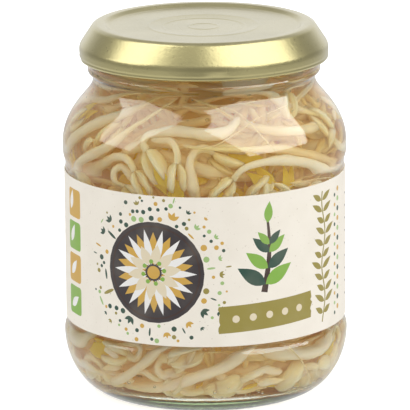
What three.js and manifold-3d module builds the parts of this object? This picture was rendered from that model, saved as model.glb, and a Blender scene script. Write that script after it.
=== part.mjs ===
// A sealed 370 ml preserve jar of mung bean sprouts in brine, in millimetres, +Z up.
// The origin is the middle of the ring that the jar stands on, and the front faces -Y.
// The parts are the glass jar, its four-lug twist-off lid with a sealing ring, a paper
// label with a gap at the back, the brine, and the sprouts. The sprouts next to the glass
// are each a piece of their own. Those deeper in the tangle are fused in one piece.
import * as THREE from "three";
import { mergeVertices } from "three/addons/utils/BufferGeometryUtils.js";
import Module from "manifold-3d";

const wasm = await Module();
wasm.setup();

// ---- Driving dimensions, in millimetres and degrees ----
const SEGMENTS = 32; // facets round the jar, shared by every turned piece
const CURVE_STEPS = 3; // points along each curved stretch of a profile

const GLASS = {
  baseRing: [26.2, 28.2], // inner and outer radius of the flat standing ring
  punt: 2.1, // how high the underside domes in the middle
  body: 39.7, // widest radius, at the two beads above and below the label
  panel: 38.9, // radius of the straight wall under the label
  panelHeights: [20.6, 64.6],
  shoulder: 70.5, // where the body starts to curve in
  slope: [35.0, 81.9], // radius and height of the middle of the shoulder
  neck: 30.95,
  neckHeight: 88.4,
  bead: 32.3, // ring of glass below the lid
  beadHeights: [90.0, 93.9],
  finish: 31.4, // radius of the wall that the lid closes on
  rim: 102.2, // height of the rim
  bore: 28.5,
  wall: 2.15,
  floor: 5.0, // height of the floor inside, at its edge
};
const THREAD = { starts: 4, reach: 32.9, low: 96.4, rise: 1.7, thick: 1.1, sweep: 60, lead: 12 };
const LID = {
  radius: 34.6,
  crest: 103.8, // height of the ring that another jar stands on
  crestRing: [28.1, 29.8],
  panel: 102.9, // height of the flat middle
  panelRadius: 26.4,
  button: [10.6, 15.0], // radii of the flat and of the foot of the safety button
  buttonDepth: 0.4,
  chamfer: [31.0, 103.2, 34.4, 98.0], // the cone between the crest and the skirt
  curl: 0.65, // radius of the rolled edge
  curlHeight: 94.6,
  sheet: 0.4,
  lug: { width: 12, tip: 32.1, heights: [94.35, 95.5] },
};
const LUG_FIRST = 6; // angle from the front to the nearest lug
const SEAL = { inner: 28.3, outer: 30.8, top: 29.5, heights: [102.3, 103.2] };
const LABEL = { heights: [21.1, 63.0], gap: 0.08, thick: 0.25, seam: 6 };
const BRINE = { level: 95.5, clear: 0.1, film: 0.5, skin: 0.7, hole: 15.4 };

const OUTER_SPROUTS = 50; // each a piece of its own
const INNER_SPROUTS = 15; // fused on the core
const TRIES = { outer: 40, inner: 8 }; // places tried for each sprout
const SEED = 24;
const STEM_STEPS = 5;
const HOOK_STEPS = 3;
const BEAN = [[0.2, 1.9], [0.25, 2.4], [0.3, 2.3], [0.22, 1.2]]; // shares of its length, radii
// Sections of a sprout: how much one corner is drawn in, and how far the whole is flattened.
const ROUND = { groove: 1, flat: 1 };
const SPLIT = { groove: 0.72, flat: 1 };
const FLAT = { groove: 1, flat: 0.4 };
const SIDES = { outer: 5, inner: 4 };
const PACK = {
  start: 1.1, // depth from the glass at which the first sprouts may lie
  bulge: { from: 76, start: 1.9 }, // and above this height, where the neck bends into the jar
  clearance: 0.36, // gap kept between sprouts
  core: 8.9, // depth of the core
  fromRadius: 15, // nearest to the middle of the floor
  toHeight: 90.6, // highest in the neck
  lowest: 2, // start of the outer sprouts along the glass
  aboveHeel: 27, // start of the inner ones, past the curve of the heel
  cells: 240, // columns of the depth map round the jar
  cell: 1.0, // height of its rows
  sample: 1.2, // step along a sprout
  ease: 4, // samples over which a sprout climbs over another
};

// ---- Small helpers ----
const radians = (degrees) => (degrees * Math.PI) / 180;

/** A point at an angle from the front, a radius and a height. */
const around = (angle, radius, z) =>
  new THREE.Vector3(radius * Math.sin(angle), -radius * Math.cos(angle), z);

/** A profile of radius and height, turned round the jar's axis. */
function turned(profile, segments = SEGMENTS) {
  return new THREE.LatheGeometry(profile, segments).rotateX(Math.PI / 2);
}

/** A geometry as a manifold solid. */
function solid(geometry) {
  const bare = geometry.clone();
  for (const name of ["normal", "uv"]) bare.deleteAttribute(name);
  const merged = mergeVertices(bare, 1e-4);
  const mesh = new wasm.Mesh({
    numProp: 3,
    vertProperties: new Float32Array(merged.attributes.position.array),
    triVerts: new Uint32Array(merged.index.array),
  });
  mesh.merge();
  return new wasm.Manifold(mesh);
}

/** A manifold solid as a geometry. */
function geometryOf(made) {
  const mesh = made.getMesh();
  const geometry = new THREE.BufferGeometry();
  const places = new Float32Array(mesh.numVert * 3);
  for (let i = 0; i < mesh.numVert; i++)
    places.set(mesh.vertProperties.subarray(i * mesh.numProp, i * mesh.numProp + 3), i * 3);
  geometry.setAttribute("position", new THREE.BufferAttribute(places, 3));
  geometry.setIndex(new THREE.BufferAttribute(new Uint32Array(mesh.triVerts), 1));
  geometry.computeVertexNormals();
  return geometry;
}

/** A closed skin over rings of points, each ring with as many points as the others. */
function skin(rings) {
  const n = rings[0].length;
  const middle = (ring) =>
    ring.reduce((sum, p) => sum.add(p), new THREE.Vector3()).divideScalar(ring.length);
  const points = [...rings.flat(), middle(rings[0]), middle(rings.at(-1))];
  const index = [];
  for (let i = 0; i + 1 < rings.length; i++)
    for (let j = 0; j < n; j++) {
      const [a, b] = [i * n + j, i * n + ((j + 1) % n)];
      index.push(a, b, b + n, a, b + n, a + n);
    }
  const [first, last, end] = [points.length - 2, points.length - 1, (rings.length - 1) * n];
  for (let j = 0; j < n; j++) {
    index.push(first, (j + 1) % n, j);
    index.push(last, end + j, end + ((j + 1) % n));
  }
  const geometry = new THREE.BufferGeometry().setFromPoints(points);
  geometry.setIndex(index);
  return geometry;
}

// ---- The jar's profiles ----
/** The outside of the glass, from the middle of its underside to the rim. */
function glassOutside() {
  const g = GLASS;
  const path = new THREE.Path();
  path.moveTo(0, g.punt);
  path.quadraticCurveTo(g.baseRing[0] * 0.7, g.punt, g.baseRing[0], 0);
  path.lineTo(g.baseRing[1], 0);
  path.bezierCurveTo(34.2, 0, g.body, 8.5, g.body, 16.8);
  path.lineTo(g.panel, g.panelHeights[0]);
  path.lineTo(g.panel, g.panelHeights[1]);
  path.lineTo(g.body - 0.15, g.shoulder - 2.5);
  path.lineTo(g.body - 0.15, g.shoulder);
  path.bezierCurveTo(g.body - 0.15, 75.2, 37.3, 79.1, ...g.slope);
  path.bezierCurveTo(32.6, 84.85, g.neck, 86.2, g.neck, g.neckHeight);
  path.lineTo(g.neck, g.beadHeights[0]);
  path.lineTo(g.bead, g.beadHeights[0] + 1.4);
  path.lineTo(g.bead, g.beadHeights[1] - 0.9);
  path.lineTo(g.finish, g.beadHeights[1]);
  path.lineTo(g.finish, g.rim - 0.9);
  path.lineTo(g.finish - 0.9, g.rim);
  return path.getPoints(CURVE_STEPS + 1);
}

/** The inside of the glass, from the middle of its floor to the bore. */
function glassInside() {
  const g = GLASS;
  const path = new THREE.Path();
  path.moveTo(0, g.floor + 0.8);
  path.quadraticCurveTo(18, g.floor + 0.8, 27, g.floor);
  path.bezierCurveTo(33, g.floor - 0.5, g.panel - g.wall, 8.2, g.panel - g.wall, 16);
  path.lineTo(g.panel - g.wall, g.shoulder - 2);
  path.bezierCurveTo(g.panel - g.wall, 74.2, 35.1, 77.8, g.slope[0] - 1.9, g.slope[1] - 1.5);
  path.bezierCurveTo(30.9, 83.1, g.bore, 84.9, g.bore, g.neckHeight);
  path.lineTo(g.bore, g.rim - 0.8);
  return path.getPoints(CURVE_STEPS);
}

/** A profile moved square to itself, to its left. */
function offset(profile, distance) {
  return profile.map((p, i) => {
    const before = profile[Math.max(i - 1, 0)];
    const after = profile[Math.min(i + 1, profile.length - 1)];
    const along = after.clone().sub(before).normalize();
    const moved = new THREE.Vector2(p.x - along.y * distance, p.y + along.x * distance);
    if (p.x === 0) moved.x = 0;
    return moved;
  });
}

// ---- Glass jar ----
/** One rib of the thread, a ramp that climbs anticlockwise. */
function threadRib(start) {
  const steps = 6;
  const rings = [];
  for (let i = 0; i <= steps; i++) {
    const angle = radians(start + (THREAD.sweep * i) / steps);
    const z = THREAD.low + (THREAD.rise * i) / steps;
    const taper = i === 0 || i === steps ? 0.45 : 1;
    const reach = GLASS.finish + (THREAD.reach - GLASS.finish) * taper;
    const root = GLASS.finish - 0.9;
    const half = (THREAD.thick / 2) * taper;
    rings.push([
      around(angle, root, z + half * 1.3),
      around(angle, reach, z + half * 0.6),
      around(angle, reach, z - half * 0.6),
      around(angle, root, z - half * 1.3),
    ]);
  }
  return solid(skin(rings));
}

function glassJar() {
  const outside = glassOutside();
  const inside = glassInside().reverse();
  let jar = solid(turned([...outside, new THREE.Vector2(GLASS.bore + 0.8, GLASS.rim), ...inside]));
  for (let i = 0; i < THREAD.starts; i++)
    jar = jar.add(threadRib(LUG_FIRST + (360 * i) / THREAD.starts - THREAD.lead));
  return geometryOf(jar);
}

// ---- Lid, sealing ring and label ----
function lidShell() {
  const { radius, sheet, chamfer, curl, curlHeight } = LID;
  const [inR, inZ, outR, outZ] = chamfer;
  const path = new THREE.Path();
  path.moveTo(0, LID.panel - LID.buttonDepth);
  path.lineTo(LID.button[0], LID.panel - LID.buttonDepth);
  path.lineTo(LID.button[1], LID.panel);
  path.lineTo(LID.panelRadius, LID.panel);
  path.lineTo(LID.crestRing[0] - 0.8, LID.crest - 0.1);
  path.lineTo(LID.crestRing[0], LID.crest);
  path.lineTo(LID.crestRing[1], LID.crest);
  path.lineTo(inR, inZ);
  path.lineTo(outR, outZ);
  path.lineTo(radius, outZ - 0.9);
  path.lineTo(radius, curlHeight);
  path.absarc(radius - curl, curlHeight, curl, 0, -Math.PI * 1.25, true);
  path.lineTo(radius - sheet, curlHeight + 0.8);
  path.lineTo(radius - sheet, outZ - 1);
  path.lineTo(outR - sheet * 0.9, outZ - sheet * 0.5);
  path.lineTo(inR - sheet * 0.9, inZ - sheet * 0.6);
  path.lineTo(LID.crestRing[1] - 0.1, LID.crest - sheet);
  path.lineTo(LID.crestRing[0] - 0.3, LID.crest - sheet);
  path.lineTo(LID.panelRadius + 0.3, LID.panel - sheet);
  path.lineTo(LID.button[1] + 0.1, LID.panel - sheet);
  path.lineTo(LID.button[0] + 0.1, LID.panel - LID.buttonDepth - sheet);
  path.lineTo(0, LID.panel - LID.buttonDepth - sheet);
  return solid(turned(path.getPoints(CURVE_STEPS).reverse()));
}

/** One tab, bent in from the rolled edge, that hooks under a rib of the thread. */
function lidLug(middle) {
  const { width, tip, heights } = LID.lug;
  const rings = [-0.5, -0.25, 0.25, 0.5].map((share) => {
    const angle = radians(middle + share * width);
    const reach = Math.abs(share) === 0.5 ? tip + 0.7 : tip;
    return [
      around(angle, reach, heights[1]),
      around(angle, LID.radius - LID.curl, heights[1] - 0.3),
      around(angle, LID.radius - LID.curl, heights[0]),
      around(angle, reach, heights[0] + 0.3),
    ];
  });
  return solid(skin(rings));
}

function lid() {
  let made = lidShell();
  for (let i = 0; i < THREAD.starts; i++)
    made = made.add(lidLug(LUG_FIRST + (360 * i) / THREAD.starts));
  return geometryOf(made);
}

function sealingRing() {
  const { inner, outer, top, heights } = SEAL;
  const profile = [
    [inner, heights[0]],
    [outer, heights[0]],
    [top, heights[1]],
    [inner, heights[1]],
    [inner, heights[0]],
  ].map(([r, z]) => new THREE.Vector2(r, z));
  return turned(profile);
}

/** The label: a band whose flats lie on those of the glass, open over its seam. */
function label() {
  const pitch = (2 * Math.PI) / SEGMENTS;
  const flat = (angle) => {
    const within = angle - Math.floor(angle / pitch) * pitch;
    return Math.cos(pitch / 2) / Math.cos(within - pitch / 2);
  };
  const edge = Math.PI - LABEL.seam / 2 / GLASS.panel;
  const angles = [-edge];
  for (let i = -SEGMENTS / 2 + 1; i < SEGMENTS / 2; i++) angles.push(i * pitch);
  angles.push(edge);
  const inner = GLASS.panel + LABEL.gap;
  const outer = inner + LABEL.thick;
  const rings = angles.map((angle) => {
    const [a, b] = [inner * flat(angle), outer * flat(angle)];
    return [
      around(angle, a, LABEL.heights[1]),
      around(angle, b, LABEL.heights[1]),
      around(angle, b, LABEL.heights[0]),
      around(angle, a, LABEL.heights[0]),
    ];
  });
  return skin(rings);
}

// ---- Brine: the film between glass and sprouts, with a plain hole for them ----
function brine() {
  const { level, clear, film, skin: top, hole } = BRINE;
  const wall = glassInside().filter((p) => p.y < level - top - 1);
  const outer = offset(wall, clear);
  const inner = offset(wall, clear + film);
  const [outR, inR] = [GLASS.bore - clear, GLASS.bore - clear - film];
  const rim = [
    [outR, level],
    [hole, level],
    [hole, level - top],
    [inR, level - top],
  ].map(([r, z]) => new THREE.Vector2(r, z));
  return turned([...outer, ...rim, ...inner.reverse()]);
}

// ---- How the sprouts lie ----
// The tangle is laid down from the glass inwards. A place on the glass is an angle and a
// distance s along its inside profile, from the floor to the neck. Each sprout runs over
// the glass and over those already there, and a map holds how deep they reach.
let drawn = SEED;
/** The next number from 0 to 1 of a fixed sequence. */
function draw() {
  drawn = (drawn * 1664525 + 1013904223) % 4294967296;
  return drawn / 4294967296;
}

const WALL = glassInside().filter((p) => p.x >= PACK.fromRadius || p.y > GLASS.floor + 2);
const REACH = [0];
WALL.forEach((p, i) => {
  if (i) REACH.push(REACH[i - 1] + p.distanceTo(WALL[i - 1]));
});
const TOP = WALL.findIndex((p) => p.y > PACK.toHeight);
const HIGH =
  REACH[TOP - 1] +
  ((PACK.toHeight - WALL[TOP - 1].y) / (WALL[TOP].y - WALL[TOP - 1].y)) *
    (REACH[TOP] - REACH[TOP - 1]);
const NORMALS = WALL.map((p, i) => {
  const along = WALL[Math.min(i + 1, WALL.length - 1)].clone().sub(WALL[Math.max(i - 1, 0)]);
  return new THREE.Vector2(-along.y, along.x).normalize();
});

/** The radius and height of the glass at s, and its normal into the jar. */
function wallAt(s) {
  let i = 1;
  while (i < REACH.length - 1 && REACH[i] < s) i++;
  const share = (s - REACH[i - 1]) / (REACH[i] - REACH[i - 1]);
  const mix = (a, b) => a + (b - a) * share;
  return {
    r: mix(WALL[i - 1].x, WALL[i].x),
    z: mix(WALL[i - 1].y, WALL[i].y),
    nr: mix(NORMALS[i - 1].x, NORMALS[i].x),
    nz: mix(NORMALS[i - 1].y, NORMALS[i].y),
  };
}

const ROWS = Math.ceil(HIGH / PACK.cell) + 4;
const COLUMN = (2 * Math.PI) / PACK.cells;
const depthMap = new Float64Array(ROWS * PACK.cells).fill(PACK.start);
for (let row = 0; row < ROWS; row++)
  if (wallAt(row * PACK.cell).z > PACK.bulge.from)
    depthMap.fill(PACK.bulge.start, row * PACK.cells, (row + 1) * PACK.cells);

/** How far it is round the tangle at s, over 2 pi. */
const girthAt = (s) => Math.max(wallAt(s).r - 3, 8);

/** The cells within reach of a place, with how far each is, for a piece of that radius. */
function* cellsNear(place, radius) {
  const girth = girthAt(place.s);
  const wide = Math.ceil((radius + 0.5) / (COLUMN * girth));
  const high = Math.ceil((radius + 0.5) / PACK.cell);
  const column = Math.floor(place.angle / COLUMN);
  const row = Math.floor(place.s / PACK.cell);
  for (let i = row - high; i <= row + high; i++) {
    if (i < 0 || i >= ROWS) continue;
    const up = (i + 0.5) * PACK.cell - place.s;
    for (let j = column - wide; j <= column + wide; j++) {
      const across = ((j + 0.5) * COLUMN - place.angle) * girth;
      const away = Math.max(Math.hypot(up, across) - 0.5, 0);
      if (away >= radius) continue;
      const inMap = ((j % PACK.cells) + PACK.cells) % PACK.cells;
      yield { cell: i * PACK.cells + inMap, rise: Math.sqrt(radius * radius - away * away) };
    }
  }
}

/** Keeps s between the ends of a zone, with no sharp turn. */
function keptInside(s, [low, high]) {
  const soft = 2.5;
  const above = low + soft * Math.log(1 + Math.exp((s - low) / soft));
  return high - soft * Math.log(1 + Math.exp((high - above) / soft));
}

/** The build of one sprout, and how it lies once it is given a place. */
const sproutShape = () => ({
  bend: radians((draw() - 0.5) * 110),
  wave: radians(draw() * 26),
  stem: 24 + draw() * 20,
  thick: 1.25 + draw() * 0.4,
  root: draw() < 0.6 ? 8 + draw() * 10 : 0,
  hook: (draw() < 0.5 ? -1 : 1) * radians(60 + draw() * 110),
  whole: draw() < 0.66,
  leaf: draw() < 0.7 ? 3 + draw() * 2 : 0,
  roll: radians((draw() - 0.5) * 70),
  phase: draw() * 2 * Math.PI,
  bean: 8 + draw() * 2,
});

/** A place and a heading for a sprout in a zone. */
const sproutPlace = ([low, high]) => ({
  angle: draw() * 2 * Math.PI,
  s: low + draw() * (high - low),
  heading: radians((draw() + draw() - 1) * 85) + (draw() < 0.5 ? Math.PI : 0),
});

/** The stations of a sprout from root to tip, each a place and the size of its section. */
function sproutCourse(shape, place, zone) {
  const stations = [];
  let { angle, s, heading } = place;
  heading -= shape.bend / 2;
  const walk = (length) => {
    angle += (Math.cos(heading) * length) / girthAt(keptInside(s, zone));
    s += Math.sin(heading) * length;
  };
  const put = (radius, section = ROUND) =>
    stations.push({ angle, s: keptInside(s, zone), radius, section });
  walk(-(shape.root + shape.stem) / 2);
  for (const radius of shape.root ? [0.38, 0.5] : []) {
    put(radius);
    walk(shape.root / 2);
    heading += 0.3 * shape.hook * (radius - 0.4);
  }
  for (let i = 0; i <= STEM_STEPS; i++) {
    const t = i / STEM_STEPS;
    const foot = shape.root && i === 0 ? 0.55 : 1;
    const neck = shape.whole && i === STEM_STEPS ? 0.66 : 1;
    put(shape.thick * foot * neck);
    if (i < STEM_STEPS) walk(shape.stem / STEM_STEPS);
    heading += shape.bend / STEM_STEPS + shape.wave * Math.cos(2 * Math.PI * t + shape.phase);
  }
  if (!shape.whole) return stations;
  for (let i = 0; i < HOOK_STEPS; i++) {
    heading += shape.hook / HOOK_STEPS;
    walk(2.5);
    put(shape.thick * 0.62);
  }
  for (const [share, radius] of BEAN) {
    walk(shape.bean * share);
    put(radius, SPLIT);
  }
  if (shape.leaf) {
    walk(shape.leaf * 0.6);
    put(1.25, FLAT);
    walk(shape.leaf * 0.4);
    put(0.6, FLAT);
  }
  return stations;
}

/** How deep a sprout lies at each station: over the map, and eased over what it crosses. */
function depthsFor(stations, least) {
  const samples = [];
  const marks = [];
  stations.forEach((to, i) => {
    if (i) {
      const from = stations[i - 1];
      const length = Math.hypot((to.angle - from.angle) * girthAt(to.s), to.s - from.s);
      const parts = Math.max(1, Math.ceil(length / PACK.sample));
      for (let k = 1; k <= parts; k++) {
        const mix = (a, b) => a + ((b - a) * k) / parts;
        samples.push({
          angle: mix(from.angle, to.angle),
          s: mix(from.s, to.s),
          radius: mix(from.radius, to.radius),
        });
      }
    } else samples.push({ ...to });
    marks.push(samples.length - 1);
  });
  const needed = samples.map((place) => {
    let depth = least - place.radius * 0.4;
    for (const { cell, rise } of cellsNear(place, place.radius))
      depth = Math.max(depth, depthMap[cell] + PACK.clearance + rise);
    return depth;
  });
  const window = (values, i) => values.slice(Math.max(i - PACK.ease, 0), i + PACK.ease + 1);
  const highest = needed.map((_, i) => Math.max(...window(needed, i)));
  const eased = highest.map((_, i) => {
    const near = window(highest, i);
    return near.reduce((sum, v) => sum + v, 0) / near.length;
  });
  samples.forEach((place, i) => (place.depth = eased[i]));
  return { samples, depths: marks.map((i) => eased[i]) };
}

/** A sprout in the best-lying of several places, put in the map. */
function layOne(tries, least, zone) {
  const shape = sproutShape();
  let best = null;
  for (let i = 0; i < tries; i++) {
    const stations = sproutCourse(shape, sproutPlace(zone), zone);
    const { samples, depths } = depthsFor(stations, least);
    const cost = Math.max(...samples.map((p) => p.depth + p.radius));
    if (!best || cost < best.cost) best = { shape, stations, samples, depths, cost };
  }
  for (const place of best.samples)
    for (const { cell, rise } of cellsNear(place, place.radius))
      depthMap[cell] = Math.max(depthMap[cell], place.depth + rise);
  return best;
}

// ---- The shape of one sprout ----
/** Where a station lies in the jar, with its normal towards the glass. */
function placeOf(station, depth) {
  const { r, z, nr, nz } = wallAt(station.s);
  return {
    point: around(station.angle, r + nr * depth, z + nz * depth),
    outward: around(station.angle, -nr, -nz).normalize(),
  };
}

/** A sprout as one closed skin from the end of its root to its bean or leaf. */
function sproutSkin({ shape, stations, depths }, sides) {
  const places = stations.map((station, i) => placeOf(station, depths[i]));
  const rings = stations.map(({ radius, section }, i) => {
    const { point, outward } = places[i];
    const before = places[Math.max(i - 1, 0)].point;
    const after = places[Math.min(i + 1, places.length - 1)].point;
    const along = after.clone().sub(before).normalize();
    const side = along.clone().cross(outward).normalize();
    if (section !== ROUND) side.applyAxisAngle(along, shape.roll);
    const up = side.clone().cross(along).normalize();
    return Array.from({ length: sides }, (_, k) => {
      const turn = (2 * Math.PI * k) / sides;
      const reach = radius * (k ? 1 : section.groove);
      return point
        .clone()
        .addScaledVector(side, reach * Math.cos(turn))
        .addScaledVector(up, -reach * section.flat * Math.sin(turn));
    });
  });
  return skin(rings);
}

// ---- The sprouts ----
/** The turned core of the tangle, narrower towards the lid and out through the brine. */
function core() {
  const deep = PACK.core;
  const radius = GLASS.panel - GLASS.wall - deep;
  const path = new THREE.Path();
  path.moveTo(0, GLASS.floor + deep);
  path.lineTo(radius - 14, GLASS.floor + deep);
  path.quadraticCurveTo(radius, GLASS.floor + deep, radius, GLASS.floor + deep + 12);
  path.lineTo(radius, GLASS.shoulder - 3);
  path.quadraticCurveTo(radius, 76, GLASS.bore - deep - 0.8, 84);
  path.lineTo(GLASS.bore - deep - 1.4, 91);
  path.lineTo(BRINE.hole - 0.9, 94);
  path.lineTo(BRINE.hole - 0.9, BRINE.level + 0.2);
  path.lineTo(BRINE.hole - 4, BRINE.level + 0.8);
  path.lineTo(0, BRINE.level + 0.8);
  return solid(turned(path.getPoints(3), 18));
}

const outerSprouts = [];
for (let i = 0; i < OUTER_SPROUTS; i++)
  outerSprouts.push(layOne(TRIES.outer, PACK.start, [PACK.lowest, HIGH]));
const innerSprouts = [];
for (let i = 0; i < INNER_SPROUTS; i++)
  innerSprouts.push(layOne(TRIES.inner, PACK.core, [PACK.aboveHeel, HIGH]));

/** The inner sprouts, standing out of the core. */
function innerTangle() {
  const made = wasm.Manifold.union([core(), ...innerSprouts.map((one) => solid(sproutSkin(one, SIDES.inner)))]);
  return geometryOf(made.decompose().sort((a, b) => b.volume() - a.volume())[0]);
}

// ---- The assembly ----
const FINISHES = {
  glass: { color: 0xdfe9e2, roughness: 0.05, metalness: 0, transparent: true, opacity: 0.35 },
  lid: { color: 0xb9ad6c, roughness: 0.35, metalness: 0.8 },
  seal: { color: 0xe9e5da, roughness: 0.7, metalness: 0 },
  label: { color: 0xeee7d6, roughness: 0.8, metalness: 0 },
  brine: { color: 0xc9a064, roughness: 0.05, metalness: 0, transparent: true, opacity: 0.35 },
  sprout: { color: 0xe6d7b4, roughness: 0.45, metalness: 0 },
  inner: { color: 0xcfae78, roughness: 0.5, metalness: 0 },
};
const jar = new THREE.Group();

/** Adds a named piece to the jar. */
function add(name, geometry, finish) {
  const mesh = new THREE.Mesh(geometry, new THREE.MeshStandardMaterial(FINISHES[finish]));
  mesh.name = name;
  jar.add(mesh);
}

add("glass_jar", glassJar(), "glass");
add("lid", lid(), "lid");
add("sealing_ring", sealingRing(), "seal");
add("label", label(), "label");
add("brine", brine(), "brine");
add("inner_sprouts", innerTangle(), "inner");
outerSprouts.forEach((one, i) =>
  add(`sprout_${String(i + 1).padStart(2, "0")}`, sproutSkin(one, SIDES.outer), "sprout"),
);

export default jar;
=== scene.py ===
"""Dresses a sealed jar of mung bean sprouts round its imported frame.

Sizes are in millimetres, with the jar's axis at the origin, +Z up and the front facing
-Y. They become metres only where a mesh, a lamp or the camera is made.
"""
import logging
import math
from collections.abc import Callable, Iterable, Sequence
from dataclasses import dataclass, field, replace
from enum import Enum

import bpy
import numpy as np
from mathutils import Matrix, Vector
from mathutils.geometry import delaunay_2d_cdt


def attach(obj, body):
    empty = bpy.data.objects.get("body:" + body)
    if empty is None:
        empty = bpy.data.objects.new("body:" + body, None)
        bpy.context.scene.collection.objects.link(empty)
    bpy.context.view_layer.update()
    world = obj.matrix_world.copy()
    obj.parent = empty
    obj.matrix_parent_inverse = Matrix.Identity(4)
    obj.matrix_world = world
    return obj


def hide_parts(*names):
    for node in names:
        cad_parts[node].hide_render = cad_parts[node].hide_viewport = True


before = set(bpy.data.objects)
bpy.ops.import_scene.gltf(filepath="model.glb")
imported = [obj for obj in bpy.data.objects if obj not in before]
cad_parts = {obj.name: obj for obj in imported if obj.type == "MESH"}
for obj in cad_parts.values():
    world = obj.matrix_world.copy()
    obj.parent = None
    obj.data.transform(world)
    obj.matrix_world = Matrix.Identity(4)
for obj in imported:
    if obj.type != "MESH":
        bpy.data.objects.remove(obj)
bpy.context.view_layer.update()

MM = 0.001
WHITE = (1.0, 1.0, 1.0)
JAR_BODY = "jar"
LID_BODY = "lid"
Colour = tuple[float, float, float]
Pair = tuple[float, float]
Shape = list[Pair]
Numbers = np.ndarray | float
Settings = dict[str, object] | None
Sockets = dict[str | int, object] | None
log = logging.getLogger("jar")


# ---- shader building
class Term:
    """A number that varies over a surface, with the maths that can be done on it."""

    def __init__(self, shader: "Shader", socket: bpy.types.NodeSocket) -> None:
        """Wraps a socket.

        Args:
            shader: the shader that new nodes go into.
            socket: the output that carries the number.
        """
        self.shader = shader
        self.socket = socket

    def _math(self, operation: str, *values: "Term | float") -> "Term":
        """Adds a Math node on values, in their order."""
        sockets = dict(enumerate(values))
        return self.shader.term("ShaderNodeMath", {"operation": operation}, sockets)

    def __add__(self, other: "Term | float") -> "Term":
        """The sum."""
        return self._math("ADD", self, other)

    __radd__ = __add__

    def __sub__(self, other: "Term | float") -> "Term":
        """The difference."""
        return self._math("SUBTRACT", self, other)

    def __rsub__(self, other: float) -> "Term":
        """The difference from a number."""
        return self._math("SUBTRACT", other, self)

    def __mul__(self, other: "Term | float") -> "Term":
        """The product."""
        return self._math("MULTIPLY", self, other)

    __rmul__ = __mul__

    def __pow__(self, power: float) -> "Term":
        """The power."""
        return self._math("POWER", self, power)

    def waved(self) -> "Term":
        """A wave between 0 and 1, over a phase in radians."""
        return 0.5 + 0.5 * self._math("SINE", self)

    def stepped(self, low: float, high: float) -> "Term":
        """Rises smoothly from 0 to 1.

        Args:
            low: where it starts to rise; over high, it falls instead.
            high: where it ends.

        Returns:
            The rise, from 0 to 1.
        """
        falling = low > high
        edges = (high, low) if falling else (low, high)
        rise = self.shader.term(
            "ShaderNodeMapRange",
            {"interpolation_type": "SMOOTHSTEP"},
            {"Value": self, "From Min": edges[0], "From Max": edges[1]},
        )
        return 1.0 - rise if falling else rise


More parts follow.
